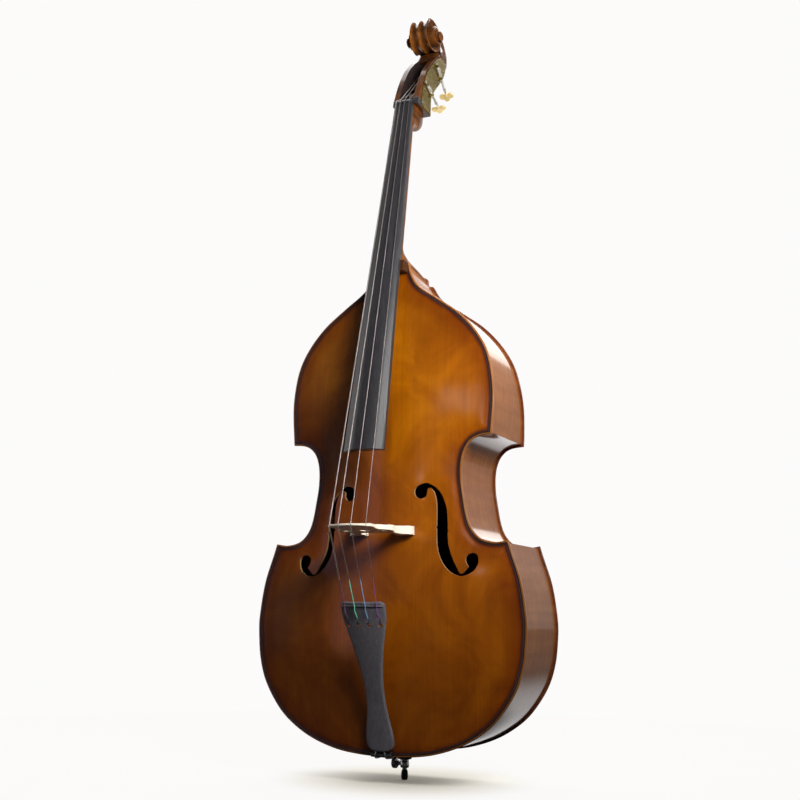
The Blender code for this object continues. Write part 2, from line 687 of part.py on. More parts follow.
def key_outline():
    """Butterfly key, (across, along): two round wings and a smaller lobe at the end."""
    wing = [(0.0115 + 0.0085 * cos(a), 0.001 + 0.0080 * sin(a))
            for a in (radians(-125 + 32 * k) for k in range(8))]
    tip = [(0.0060 * cos(a), 0.0100 + 0.0050 * sin(a)) for a in (radians(20), radians(55))]
    half = [(0.0, -0.0065)] + wing + tip
    return half + [(0.0, 0.0152)] + [(-x, y) for x, y in reversed(half) if x > 1e-6]


def make_tuner(name):
    side, start, along, worm, roller = tuner_frame(name)
    axis = Vector((0, *along))
    base = (side * SHAFT_X, *start)
    worm_at = (worm - start).length
    profile = [(SHAFT_R, -0.002), (SHAFT_R, worm_at - WORM_HALF), (WORM_R, worm_at - WORM_HALF),
               (WORM_R, worm_at + WORM_HALF), (SHAFT_R, worm_at + WORM_HALF),
               (SHAFT_R, SHAFT_LENGTH), (0.0022, SHAFT_LENGTH + 0.003)]
    turned(f"worm_shaft_{name}", "nickel", profile, base=base, direction=axis, segments=12)
    middle = Vector(base) + axis * (SHAFT_LENGTH + 0.0032 + 0.0068)
    half = 0.0017
    across = Vector((1, 0, 0))
    normal = axis.cross(across)
    key = slab(f"tuner_key_{name}", "gold", key_outline(),
               lambda u, v: middle + across * u + axis * v + normal * half,
               lambda u, v: middle + across * u + axis * v - normal * half)
    key.data.transform(Matrix.Translation(-middle))
    key.location = middle
    gear = [(JOURNAL_R + GAP, GEAR_X[0]), (GEAR_R, GEAR_X[0]), (GEAR_R, GEAR_X[1]),
            (JOURNAL_R + GAP, GEAR_X[1])]
    turned(f"gear_{name}", "brass", gear, base=(0, *roller), direction=(side, 0, 0),
           segments=GEAR_TEETH, bored=True)
    end = SLOT_X - 0.0008
    profile = [(JOURNAL_R, -0.0285), (JOURNAL_R, -end), (ROLLER_R, -end), (ROLLER_R, end),
               (JOURNAL_R, end), (JOURNAL_R, GEAR_X[1])]
    turned(f"string_roller_{name}", "rosewood", profile, base=(0, *roller), direction=(side, 0, 0),
           segments=16)


# ---- tailpiece, wire and saddle -------------------------------------------------------
def tail_y(z):
    """y of the tailpiece's upper surface on its centre line."""
    (y0, z0), (y1, z1), (y2, z2) = TAIL_TOP, TAIL_KNEE, TAIL_FOOT
    if z > z1:
        return y1 + (y0 - y1) * (z - z1) / (z0 - z1)
    return y2 + (y1 - y2) * (z - z2) / (z1 - z2)


def make_tailpiece():
    half = [Vector((w, z)) for z, w in TAIL_HALF]
    outline = [Vector((0.0, TAIL_HALF[0][0]))] + half + [Vector((0.0, TAIL_HALF[-1][0] - 0.001))]
    holes = [[(x + TAIL_HOLE_R * cos(a), TAIL_HOLE_Z + TAIL_HOLE_R * sin(a))
              for a in (radians(60 * k) for k in range(6))] for x in TAIL_HOLES.values()]
    knee = TAIL_KNEE[1]
    slab("tailpiece", "ebony", mirrored(outline), lambda x, z: (x, tail_y(z) + 3.0 * x * x, z),
         lambda x, z: (x, tail_y(z) + TAIL_THICK + 1.2 * x * x, z), holes=holes,
         creases=[((-0.05, knee), (0.05, knee)), ((-0.0001, 0.09), (-0.0001, 0.32))])


def make_tail_wire():
    reach = COLLAR_R + WIRE_R + GAP
    saddle_y = RIB_FRONT - PLATE - SADDLE_RISE - SADDLE[2] - WIRE_R - GAP
    floor = BODY_BOTTOM - GAP - WIRE_R
    rib_floor = BODY_BOTTOM + OVERHANG - GAP - WIRE_R - 0.0012
    side = [Vector((0.009, tail_y(0.071) + 0.005, 0.0695)), Vector((0.011, saddle_y, 0.0655)),
            Vector((0.0125, saddle_y, 0.0575)), Vector((0.0130, saddle_y + 0.007, floor - 0.001)),
            Vector((0.0140, RIB_FRONT - PLATE / 2, floor)), Vector((0.0155, RIB_FRONT + 0.008, floor)),
            Vector((0.0170, -0.080, rib_floor)), Vector((reach, -0.020, rib_floor)), Vector((reach, 0.0, rib_floor))]
    bend = [Vector((reach * cos(a), reach * sin(a), rib_floor))
            for a in (radians(22.5 * k) for k in range(1, 8))]
    path = side + bend + [Vector((-p.x, p.y, p.z)) for p in reversed(side)]
    tube("tail_wire", "steel", path, WIRE_R)


def make_saddle():
    half, width, height = SADDLE
    front = RIB_FRONT - PLATE - SADDLE_RISE
    profile = [(front, 0.0583), (front - height * 0.7, 0.0583), (front - height, 0.0605),
               (front - height, 0.0645), (front - height * 0.6, 0.0583 + width),
               (front - 0.0003, 0.0583 + width)]
    prism("saddle", "ebony", profile, lambda y: half)


# ---- strings --------------------------------------------------------------------------
def bridge_top(x):
    return BRIDGE_CROWN + BRIDGE_RADIUS - sqrt(BRIDGE_RADIUS**2 - x * x)


def make_string(name):
    x_bridge, x_nut, radius = STRINGS[name]
    x_tail = TAIL_HOLES[name]
    lift = radius + GAP
    tail_edge = tail_y(TAIL_TOP[1]) + 3.0 * x_tail**2
    nut_y = board_ring(NUT_Z, 0.0008)
    crown = BOARD_CROWN[0] - 0.0008 + BOARD_RADIUS - sqrt(BOARD_RADIUS**2 - x_nut**2)
    _, _, _, _, roller = tuner_frame(name)
    rise = roller - Vector((crown, NUT_Z))
    normal = Vector((-rise.y, rise.x)).normalized()
    landing = roller + normal * (ROLLER_R + lift)
    path = [(x_tail, tail_y(TAIL_HOLE_Z) + 3.0 * x_tail**2 + TAIL_THICK + 0.003, TAIL_HOLE_Z),
            (x_tail, tail_y(TAIL_HOLE_Z) + 3.0 * x_tail**2 - lift - 0.001, TAIL_HOLE_Z + 0.001),
            (x_tail, tail_edge - lift - 0.002, TAIL_TOP[1] - 0.006),
            (x_bridge, bridge_top(x_bridge) - lift - GAP, BRIDGE_Z - 0.0035),
            (x_bridge, bridge_top(x_bridge) - lift - GAP, BRIDGE_Z + 0.0035),
            (x_nut, crown - lift, NUT_Z - 0.001),
            (x_nut, crown - lift, NUT_Z + 0.006),
            (x_nut, landing.x, landing.y)]
    tube(f"string_{name}", "string_steel", path, radius)


# ---- endpin ---------------------------------------------------------------------------
def make_endpin():
    rib_bottom = BODY_BOTTOM + OVERHANG
    collar = [(ROD_R + GAP, 0.0), (COLLAR_R - 0.002, 0.0), (COLLAR_R, 0.003),
              (COLLAR_R, rib_bottom - CLAMP[1] - 2 * GAP - 0.001), (SHANK_R, rib_bottom - CLAMP[1] - GAP),
              (SHANK_R - 0.001, 0.060), (ROD_R + GAP, 0.060)]
    turned("endpin_collar", "ebony", collar, base=(0, 0, CLAMP[1] + GAP), bored=True, segments=24)
    height = CLAMP[1] - CLAMP[0]
    clamp = turned("endpin_clamp", "nickel", [(ROD_R + GAP, 0.0), (CLAMP_R - 0.001, 0.0),
                                              (CLAMP_R, 0.001), (CLAMP_R, height), (ROD_R + GAP, height)],
                   base=(0, 0, CLAMP[0]), bored=True, segments=24)
    bore = turned("screw_bore", "nickel", [(0.0025 + GAP, 0.0), (0.0025 + GAP, 0.02)],
                  base=(0, 0, SCREW_Z), direction=(-1, 0, 0), segments=12)
    boolean(clamp, bore, "DIFFERENCE")
    screw = [(0.0025, ROD_R + 2 * GAP), (0.0025, 0.0145), (0.004, 0.0150), (0.004, 0.0180),
             (0.0105, 0.0190), (0.0115, 0.0215), (0.0105, 0.0275), (0.006, 0.0295)]
    turned("endpin_screw", "nickel", screw, base=(0, 0, SCREW_Z), direction=(-1, 0, 0), segments=16)
    turned("endpin_rod", "steel", [(ROD_R - 0.001, 0.0), (ROD_R, 0.001), (ROD_R, ROD_TOP - 0.008),
                                   (ROD_R - 0.001, ROD_TOP - 0.007)], base=(0, 0, 0.007), segments=16)
    tip = [(0.0, 0.0), (0.0055, 0.0), (0.0070, 0.003), (0.0077, 0.010), (0.0068, 0.019), (0.0060, 0.022),
           (ROD_R + GAP, 0.022), (ROD_R + GAP, 0.0065), (0.0, 0.0065)]
    bm = bmesh.new()
    segments = 20
    rings = [[bm.verts.new((r * cos(2 * pi * k / segments), r * sin(2 * pi * k / segments), z))
              for k in range(segments)] for r, z in tip[1:-1]]
    for low, high in zip(rings, rings[1:]):
        for k in range(segments):
            bm.faces.new([low[k], low[(k + 1) % segments], high[(k + 1) % segments], high[k]])
    bm.faces.new(list(reversed(rings[0])))
    bm.faces.new(rings[-1])
    add_object("endpin_tip", bm, "rubber")


def define_materials():
    material("spruce", (0.42, 0.13, 0.02), 0.18)
    material("maple", (0.22, 0.06, 0.02), 0.15)
    material("maple_dark", (0.14, 0.03, 0.012), 0.18)
    material("spruce_inner", (0.70, 0.52, 0.33), 0.7)
    material("bridge_maple", (0.80, 0.72, 0.58), 0.55)
    material("ebony", (0.02, 0.02, 0.022), 0.35)
    material("rosewood", (0.06, 0.03, 0.02), 0.5)
    material("brass", (0.45, 0.38, 0.16), 0.3, 1.0)
    material("gold", (0.80, 0.55, 0.14), 0.25, 1.0)
    material("nickel", (0.72, 0.71, 0.69), 0.2, 1.0)
    material("steel", (0.60, 0.60, 0.60), 0.25, 1.0)
    material("string_steel", (0.65, 0.62, 0.62), 0.3, 1.0)
    material("rubber", (0.02, 0.02, 0.02), 0.8)


def main():
    for obj in list(bpy.data.objects):
        bpy.data.objects.remove(obj, do_unlink=True)
    define_materials()
    endpin_hole = make_ribs()
    make_linings()
    make_blocks(endpin_hole)
    table = make_table()
    make_back()
    make_inside(table)
    make_bridge(table)
    make_board()
    make_neck()
    for side, label in ((1, "treble"), (-1, "bass")):
        make_machine_plate(side, label)
    for name in TUNERS:
        make_tuner(name)
        make_string(name)
    make_tailpiece()
    make_tail_wire()
    make_saddle()
    make_endpin()


main()
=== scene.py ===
"""Looks of the double bass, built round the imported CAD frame. Metres, +Z up, front towards -Y."""
from math import atan2, cos, exp, pi, radians, sin, sqrt

import bmesh
import bpy
import numpy as np
from mathutils import Matrix, Vector
from mathutils.geometry import delaunay_2d_cdt


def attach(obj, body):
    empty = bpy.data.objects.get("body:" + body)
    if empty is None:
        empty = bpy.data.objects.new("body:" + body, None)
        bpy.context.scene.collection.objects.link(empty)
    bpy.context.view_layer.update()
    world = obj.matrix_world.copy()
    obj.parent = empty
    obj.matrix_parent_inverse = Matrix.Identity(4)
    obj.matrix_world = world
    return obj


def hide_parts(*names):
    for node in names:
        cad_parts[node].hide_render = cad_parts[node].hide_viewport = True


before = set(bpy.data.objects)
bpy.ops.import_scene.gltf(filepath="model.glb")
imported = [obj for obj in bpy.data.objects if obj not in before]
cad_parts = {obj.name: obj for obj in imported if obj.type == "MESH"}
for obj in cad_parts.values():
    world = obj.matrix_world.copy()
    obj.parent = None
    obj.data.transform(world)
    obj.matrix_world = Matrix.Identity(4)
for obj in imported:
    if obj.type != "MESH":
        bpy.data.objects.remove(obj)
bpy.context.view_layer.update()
ROOT = "body_and_neck"

# ---- dimensions shared with the CAD ---------------------------------------------------
GAP = 0.0003                               # clearance between parts
SIDES = ((1, "treble"), (-1, "bass"))
BODY_TOP, BODY_BOTTOM = 1.162, 0.058
PLATE_BOX = ((-0.335, BODY_BOTTOM), (0.335, BODY_TOP))
RIB_FRONT, RIB_BACK = -0.102, 0.094
BREAK_Z, BREAK_SLOPE = 0.767, 0.2
PLATE, ARCH, ARCH_REACH = 0.006, 0.02, 0.165
OVERHANG, RIB = 0.005, 0.003
UPPER_BOUT = [(0.046, 1.162), (0.0494, 1.141), (0.0685, 1.107), (0.119, 1.07), (0.17, 1.032),
              (0.208, 0.991), (0.234, 0.949), (0.248, 0.906), (0.2555, 0.84), (0.25, 0.749)]
CENTRE_BOUT = [(0.25, 0.749), (0.222, 0.746), (0.204, 0.738), (0.189, 0.72), (0.1805, 0.69),
               (0.18, 0.65), (0.185, 0.615), (0.194, 0.569), (0.205, 0.543), (0.2255, 0.523),
               (0.257, 0.515), (0.288, 0.5185)]
LOWER_BOUT = [(0.288, 0.5185), (0.294, 0.499), (0.3165, 0.43), (0.3285, 0.352), (0.3285, 0.315),
              (0.322, 0.258), (0.3057, 0.208), (0.272, 0.156), (0.238, 0.123), (0.185, 0.091),
              (0.12, 0.069), (0.057, 0.06), (0.0, BODY_BOTTOM)]
NUT_Z, BOARD_END_Z = 1.588, 0.707
BOARD_UNDER, BOARD_CROWN, BOARD_HALF = (-0.05, 0.194), (-0.0645, 0.214), (0.023, 0.0295)
BOARD_RADIUS, NUT_CROWN = 0.062, BOARD_CROWN[0] - 0.001
BRIDGE_Z, BRIDGE_CROWN, BRIDGE_RADIUS = 0.541, -0.3074, 0.067
CHEEK_X, SLOT_X = 0.033, 0.0195
PLATE_X = (0.0333, 0.0348)
SHAFT_X, SHAFT_R, WORM_R, WORM_HALF, SHAFT_LENGTH = 0.0385, 0.003, 0.0052, 0.011, 0.0775
GEAR_R, GEAR_X, GEAR_OFFSET, GEAR_TEETH = 0.015, (0.0275, 0.033), 0.019, 28
ROLLER_R, JOURNAL_R = 0.0065, 0.0045
TUNERS = {"E": (-1, (-0.0165, 1.6295), (0.905, -0.425), 0.022),
          "A": (-1, (0.0162, 1.6976), (0.8, -0.6), 0.022),
          "D": (1, (0.048, 1.736), (0.727, -0.687), 0.022),
          "G": (1, (-0.0147, 1.658), (0.905, -0.425), 0.024)}
STRINGS = {"E": (-0.043, -0.0175, 0.00135), "A": (-0.015, -0.0058, 0.0011),
           "D": (0.015, 0.0058, 0.00085), "G": (0.043, 0.0175, 0.00065)}
TAIL_TOP, TAIL_KNEE, TAIL_FOOT, TAIL_THICK = (-0.231, 0.385), (-0.153, 0.18), (-0.125, 0.071), 0.009
TAIL_HOLES = {"E": -0.038, "A": -0.0127, "D": 0.0127, "G": 0.038}
TAIL_HOLE_Z, TAIL_FRET_Z = 0.336, 0.3752
TAIL_BOW = 3.0                             # the tailpiece bows forwards by this much times x squared
TAIL_WIRE_R, SCREW_Z, ROD_BORE = 0.0017, 0.035, 0.0053


# ---- curves ---------------------------------------------------------------------------
def smooth_run(knots, step, closed=False):
    """Points spaced about `step` apart on a smooth curve through the knots (any dimension)."""
    pts = [np.array(k, float) for k in knots]
    n = len(pts)
    spans = n if closed else n - 1
    lengths = [float(np.linalg.norm(pts[(i + 1) % n] - pts[i])) for i in range(spans)]

    def slope(i):
        before = i - 1 if (closed or i > 0) else i
        after = i + 1 if (closed or i < n - 1) else i
        run = sum(lengths[k % spans] for k in range(before, after))
        return (pts[after % n] - pts[before % n]) / run

    out = []
    for i in range(spans):
        a, b, length = pts[i], pts[(i + 1) % n], lengths[i]
        ma, mb = slope(i) * length, slope((i + 1) % n if closed else i + 1) * length
        count = max(1, round(length / step))
        for t in np.arange(count) / count:
            out.append(a * (2 * t**3 - 3 * t**2 + 1) + ma * (t**3 - 2 * t**2 + t)
                       + b * (3 * t**2 - 2 * t**3) + mb * (t**3 - t**2))
    if not closed:
        out.append(pts[-1])
    return np.array(out)


def offset_run(run, distance):
    """A run that goes down the treble side, moved inwards."""
    along = np.gradient(run, axis=0)
    along /= np.linalg.norm(along, axis=1)[:, None]
    return run + np.stack([along[:, 1], -along[:, 0]], 1) * distance


def mirrored(half):
    """Closed outline from its treble half; points on the centre line come once."""
    other = half[::-1]
    return np.vstack([half, other[other[:, 0] > 1e-6] * [-1, 1]])


STEP = 0.005
RUNS = {"upper": np.vstack([smooth_run([(0.0, BODY_TOP), UPPER_BOUT[0]], STEP)[:-1],
                            smooth_run(UPPER_BOUT, STEP)]),
        "centre": smooth_run(CENTRE_BOUT, STEP), "lower": smooth_run(LOWER_BOUT, STEP)}
HALF_OUTLINE = np.vstack([RUNS["upper"], RUNS["centre"][1:], RUNS["lower"][1:]])
OUTLINE = mirrored(HALF_OUTLINE)


def loop_distance(points, loop):
    """Distance of each point from a closed outline."""
    points, a = np.asarray(points, float), np.asarray(loop)
    along = np.roll(a, -1, axis=0) - a
    best = np.full(len(points), np.inf)
    for start, step in zip(a, along):
        rel = points - start
        t = np.clip(rel @ step / (step @ step), 0, 1)
        best = np.minimum(best, np.hypot(*(rel - t[:, None] * step).T))
    return best


def inside(points, loop):
    """Which points lie inside a closed outline."""
    points, a = np.asarray(points, float), np.asarray(loop)
    b = np.roll(a, -1, axis=0)
    hit = np.zeros(len(points), bool)
    for (ax, ay), (bx, by) in zip(a, b):
        if ay != by:
            crosses = (ay > points[:, 1]) != (by > points[:, 1])
            hit ^= crosses & (points[:, 0] < ax + (points[:, 1] - ay) * (bx - ax) / (by - ay))
    return hit


def back_edge(z):
    """Rear edge of the ribs, which comes forward above the break."""
    return RIB_BACK - BREAK_SLOPE * np.maximum(0.0, z - BREAK_Z)


# ---- mesh helpers ---------------------------------------------------------------------
def solid_object(name, bm):
    """Object made of a closed bmesh, its faces turned outwards."""
    bmesh.ops.recalc_face_normals(bm, faces=bm.faces)
    if bm.calc_volume(signed=True) < 0:
        bmesh.ops.reverse_faces(bm, faces=bm.faces)
    mesh = bpy.data.meshes.new(name)
    bm.to_mesh(mesh)
    bm.free()
    obj = bpy.data.objects.new(name, mesh)
    bpy.context.scene.collection.objects.link(obj)
    return obj


def shade_smooth(mesh, sharp):
    mesh.shade_smooth()
    mesh.set_sharp_from_angle(angle=radians(sharp))


def add_bevel(obj, width, angle=35):
    bevel = obj.modifiers.new("edges", "BEVEL")
    bevel.width = width
    bevel.segments = 3
    bevel.limit_method = "ANGLE"
    bevel.angle_limit = radians(angle)


def publish(name, bm, material, replaces=None, body=ROOT, bevel=None, sharp=40):
    obj = solid_object(name, bm)
    shade_smooth(obj.data, sharp)
    for each in material if isinstance(material, list) else [material]:
        obj.data.materials.append(each)
    if bevel:
        add_bevel(obj, bevel)
    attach(obj, body)
    if replaces:
        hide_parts(replaces)
    return obj


def region_mesh(outline, front, back, extra, holes=(), hole_material=0):
    """Plate over a flat region; front(p) and back(p) turn Nx2 points into Nx3.

    Gives the bmesh, the flat points and the triangles. The vertices are the front's, then the back's.
    """
    points = [Vector(p) for p in outline]
    edges = [(i, (i + 1) % len(outline)) for i in range(len(outline))]
    for hole in holes:
        start = len(points)
        points += [Vector(p) for p in hole]
        edges += [(start + i, start + (i + 1) % len(hole)) for i in range(len(hole))]
    points += [Vector(p) for p in extra]
    flat, _, faces, *_ = delaunay_2d_cdt(points, edges, [], 0, 1e-7)
    flat = np.array([tuple(p) for p in flat])
    faces = np.array([f for f in faces if len(f) == 3])
    middles = flat[faces].mean(axis=1)
    keep = inside(middles, outline)
    for hole in holes:
        keep &= ~inside(middles, hole)
    faces = faces[keep]
    used, faces = np.unique(faces, return_inverse=True)
    faces = faces.reshape(-1, 3)
    flat = flat[used]
    bm = bmesh.new()
    near = [bm.verts.new(p) for p in front(flat)]
    far = [bm.verts.new(p) for p in back(flat)]
    sides = {}
    for face in faces.tolist():
        bm.faces.new([near[i] for i in face])
        bm.faces.new([far[i] for i in reversed(face)])
        for a, b in zip(face, face[1:] + face[:1]):
            key = (min(a, b), max(a, b))
            sides[key] = None if key in sides else (a, b)
    walls = list(filter(None, sides.values()))
    on_rim = loop_distance([(flat[a] + flat[b]) / 2 for a, b in walls], outline) < 1e-6
    for (a, b), rim in zip(walls, on_rim):
        bm.faces.new([near[b], near[a], far[a], far[b]]).material_index = 0 if rim else hole_material
    return bm, flat, faces


def grid_in(outline, low, high, step, margin):
    """Points of an even grid that lie inside the outline, at least `margin` from it."""
    rows = []
    for r, z in enumerate(np.arange(low[1], high[1], step * sqrt(3) / 2)):
        x = np.arange(low[0] + step / 2 * (r % 2), high[0], step)
        rows.append(np.stack([x, np.full_like(x, z)], 1))
    grid = np.vstack(rows)
    return grid[inside(grid, outline) & (loop_distance(grid, outline) > margin)]


def loft_mesh(rings, closed=False, materials=None):
    """Skin over a row of rings, with an end face on each end unless the row is closed."""
    bm = bmesh.new()
    made = [[bm.verts.new(p) for p in ring] for ring in rings]
    pairs = list(zip(made, made[1:] + made[:1])) if closed else list(zip(made, made[1:]))
    for index, (low, high) in enumerate(pairs):
        n = len(low)
        for i in range(n):
            face = bm.faces.new([low[i], low[(i + 1) % n], high[(i + 1) % n], high[i]])
            if materials:
                face.material_index = materials[index]
    if not closed:
        bm.faces.new(list(reversed(made[0])))
        bm.faces.new(made[-1])
    return bm


def turned_mesh(profile, base=(0, 0, 0), direction=(0, 0, 1), segments=48, bored=False, radius_at=None):
    """(radius, height) profile turned about an axis; radius_at(angle, index, radius) may vary it."""
    turn = Vector(direction).to_track_quat("Z", "Y").to_matrix()
    base = Vector(base)
    rings = []
    for index, (radius, height) in enumerate(profile):
        ring = []
        for k in range(segments):
            a = 2 * pi * k / segments
            r = radius_at(a, index, radius) if radius_at else radius
            ring.append(base + turn @ Vector((r * cos(a), r * sin(a), height)))
        rings.append(ring)
    return loft_mesh(rings, closed=bored)


def tube_mesh(path, radius, sides=12, materials=None):
    """Round wire along a path."""
    pts = [Vector(p) for p in path]
    rings = []
    side = None
    for i, p in enumerate(pts):
        along = (pts[min(i + 1, len(pts) - 1)] - pts[max(i - 1, 0)]).normalized()
        side = (along.orthogonal() if side is None else side - along * side.dot(along)).normalized()
        other = along.cross(side)
        rings.append([p + (side * cos(a) + other * sin(a)) * radius
                      for a in (2 * pi * k / sides for k in range(sides))])
    return loft_mesh(rings, materials=materials)


def prism_mesh(outline, half_width):
    """Side profile (y, z) as one polygon on each side."""
    bm = bmesh.new()
    right = [bm.verts.new((half_width, y, z)) for y, z in outline]
    left = [bm.verts.new((-half_width, y, z)) for y, z in outline]
    bm.faces.new(right)
    bm.faces.new(list(reversed(left)))
    n = len(outline)
    for i in range(n):
        j = (i + 1) % n
        bm.faces.new([right[j], right[i], left[i], left[j]])
    return bm


# ---- materials ------------------------------------------------------------------------
class Nodes:
    """Builds a node tree step by step."""

    def __init__(self, tree):
        self.tree = tree

    def node(self, kind, **settings):
        made = self.tree.nodes.new(kind)
        for key, value in settings.items():
            setattr(made, key, value)
        return made

    def link(self, source, target):
        """Links a socket to the input, or sets a number or a colour on it."""
        if hasattr(source, "links"):
            self.tree.links.new(source, target)
        else:
            target.default_value = (*source, 1) if isinstance(source, tuple) else source

    def filled(self, kind, output, settings, **inputs):
        """Output of a new node whose inputs are given by name, with _ for a space."""
        made = self.node(kind, **settings)
        for key, value in inputs.items():
            self.link(value, made.inputs[key.replace("_", " ")])
        return made.outputs[output]

    def split(self, vector):
        return self.filled("ShaderNodeSeparateXYZ", 0, {}, Vector=vector).node.outputs

    def math(self, operation, a, b=0.0):
        made = self.node("ShaderNodeMath", operation=operation)
        self.link(a, made.inputs[0])
        self.link(b, made.inputs[1])
        return made.outputs[0]

    def graded(self, source, start, stop, low, high, kind="SMOOTHSTEP"):
        return self.filled("ShaderNodeMapRange", "Result", {"interpolation_type": kind}, Value=source,
                           From_Min=start, From_Max=stop, To_Min=low, To_Max=high)

    def choice(self, fac, first, second):
        """Mix of two shaders."""
        made = self.node("ShaderNodeMixShader")
        for key, source in enumerate((fac, first, second)):
            self.link(source, made.inputs[key])
        return made.outputs[0]


class Finish(Nodes):
    """A node material; every value that is constant sits on the shader itself."""

    def __init__(self, name, colour, roughness=0.4, metallic=0.0, coat=0.0, coat_roughness=0.05, shine=0.5):
        self.material = bpy.data.materials.new(name)
        self.material.use_nodes = True
        super().__init__(self.material.node_tree)
        self.shader = self.tree.nodes["Principled BSDF"]
        values = {"Base Color": colour, "Roughness": roughness, "Metallic": metallic, "Coat Weight": coat,
                  "Coat Roughness": coat_roughness, "Specular IOR Level": shine}
        for key, value in values.items():
            self.link(value, self.shader.inputs[key])
        self.place = self.node("ShaderNodeTexCoord").outputs["Object"]

    def noise(self, scale, detail, rough, distortion=0.0):
        mapping = self.node("ShaderNodeMapping")
        mapping.inputs["Scale"].default_value = scale
        self.link(self.place, mapping.inputs["Vector"])
        return self.filled("ShaderNodeTexNoise", "Fac", {}, Vector=mapping.outputs["Vector"], Scale=1.0,
                           Detail=detail, Roughness=rough, Distortion=distortion)

    def attribute(self, name):
        return self.node("ShaderNodeAttribute", attribute_name=name).outputs["Fac"]

    def ramp(self, fac, *stops):
        made = self.node("ShaderNodeValToRGB")
        elements = made.color_ramp.elements
        while len(elements) < len(stops):
            elements.new(0.5)
        for element, (position, colour) in zip(elements, stops):
            element.position = position
            element.color = (*colour, 1) if isinstance(colour, tuple) else (colour, colour, colour, 1)
        self.link(fac, made.inputs["Fac"])
        return made.outputs["Color"]

    def mix(self, fac, a, b, blend="MIX"):
        made = self.node("ShaderNodeMix", data_type="RGBA", blend_type=blend)
        for key, value in ((0, fac), (6, a), (7, b)):
            self.link(value, made.inputs[key])
        return made.outputs[2]

    def colour(self, source):
        self.link(source, self.shader.inputs["Base Color"])

    def roughness(self, fac, low, high):
        self.link(self.graded(fac, 0.0, 1.0, low, high, "LINEAR"), self.shader.inputs["Roughness"])

    def bump(self, height, distance, strength):
        made = self.filled("ShaderNodeBump", 0, {}, Height=height, Distance=distance, Strength=strength)
        self.link(made, self.shader.inputs["Normal"])


# Painted light and shade on the front by place: a colour, and the bands that say how much of it.
# Each band is an axis, where it starts and stops, and its strength before and after.
FRONT_PAINTED_LIGHT_AND_SHADE = [
    # painted shade: darker towards the bottom
    ((0.9, 0.73, 0.62), ("Z", 0.45, 1.0, 0.85, 0.0)),
    # painted shade: darker, with a purple tint, on the bass side
    ((0.56, 0.52, 1.1), ("X", -0.28, 0.06, 1.0, 0.0)),
    # painted shadow of the board's end on the bass side of the waist
    ((0.66, 0.58, 0.6), ("X", -0.02, 0.06, 1.0, 0.0), ("Z", 0.42, 0.58, 0.0, 1.0),
     ("Z", 0.74, 0.9, 1.0, 0.0)),
    # painted shade: darker at the top
    ((0.8, 0.77, 0.8), ("Z", 0.84, 1.05, 0.0, 1.0)),
    # painted light: lighter on the treble side of the waist
    ((1.22, 1.26, 1.3), ("X", 0.04, 0.14, 0.0, 1.0), ("Z", 0.36, 0.56, 0.0, 1.0),
     ("Z", 0.72, 0.86, 1.0, 0.0)),
    # painted shade: darker at the treble shoulder
    ((0.68, 0.57, 0.6), ("X", 0.02, 0.2, 0.0, 1.0), ("Z", 0.7, 0.95, 0.0, 1.0)),
]


def spruce_varnish():
    """Sunburst: bright bead, dark line and band at the edge, amber in the middle; faint upright grain;
    painted light and shade by place over it.
    """
    f = Finish("spruce_varnish", (0.35, 0.1, 0.01), 0.45, coat=0.7, coat_roughness=0.15, shine=0.15)
    grain = f.noise((460, 3, 2.2), 3.0, 0.6)
    broad = f.noise((22, 2, 1.6), 4.0, 0.6, 0.4)
    blotch = f.noise((8, 5, 6.5), 4.0, 0.6, 0.8)
    base = f.ramp(blotch, (0.28, (0.2, 0.053, 0.0003)), (0.5, (0.3, 0.088, 0.0005)),
                  (0.72, (0.42, 0.137, 0.001)))
    base = f.mix(f.ramp(grain, (0.38, 0.17), (0.62, 0.0)), base, (0.1, 0.022, 0.0008))
    base = f.mix(f.ramp(broad, (0.35, 0.12), (0.6, 0.0)), base, (0.12, 0.026, 0.0008))
    edge = f.attribute("edge")
    wander = f.math("ADD", edge, f.math("MULTIPLY", f.math("SUBTRACT", blotch, 0.5), 0.1))
    shade = f.ramp(wander, (0.09, (0.42, 0.28, 0.34)), (0.22, (0.8, 0.68, 0.54)), (0.65, (1.0, 1.0, 1.0)))
    varnished = f.mix(1.0, base, shade, "MULTIPLY")
    place = f.split(f.place)
    # the painted light and shade by place, multiplied into the varnish
    for colour, *bands in FRONT_PAINTED_LIGHT_AND_SHADE:
        strength = 1.0
        for axis, *limits in bands:
            strength = f.math("MULTIPLY", strength, f.graded(place[axis], *limits))
        varnished = f.mix(strength, varnished, colour, "MULTIPLY")
    varnished = f.mix(f.ramp(wander, (0.07, 1.0), (0.17, 0.0)), varnished, (0.024, 0.009, 0.009))
    f.colour(f.mix(f.ramp(edge, (0.038, 1.0), (0.048, 0.0)), varnished, (0.21, 0.075, 0.013)))
    f.bump(grain, 0.0001, 0.2)
    return f.material


def maple_varnish(name, dark, light, deep, coat=0.9):
    """Flamed maple under red-brown varnish: cross bands with fine long grain, darkened by painted shade in
    the hollows.
    """
    f = Finish(name, light, 0.5, coat=coat, coat_roughness=0.1, shine=0.05)
    flame = f.noise((3, 3, 34), 2.0, 0.5, 1.2)
    grain = f.noise((150, 150, 9), 4.0, 0.6)
    cloud = f.noise((6, 6, 6), 3.0, 0.5)
    base = f.ramp(flame, (0.3, dark), (0.7, light))
    base = f.mix(f.ramp(grain, (0.38, 0.4), (0.62, 0.0)), base, deep)
    base = f.mix(f.ramp(cloud, (0.35, 0.45), (0.7, 0.0)), base, deep)
    # painted shade: near black where the mesh's attribute marks a hollow
    f.colour(f.mix(f.attribute("hollow_painted_shade"), base, (0.008, 0.003, 0.003)))
    f.bump(grain, 0.0001, 0.15)
    return f.material


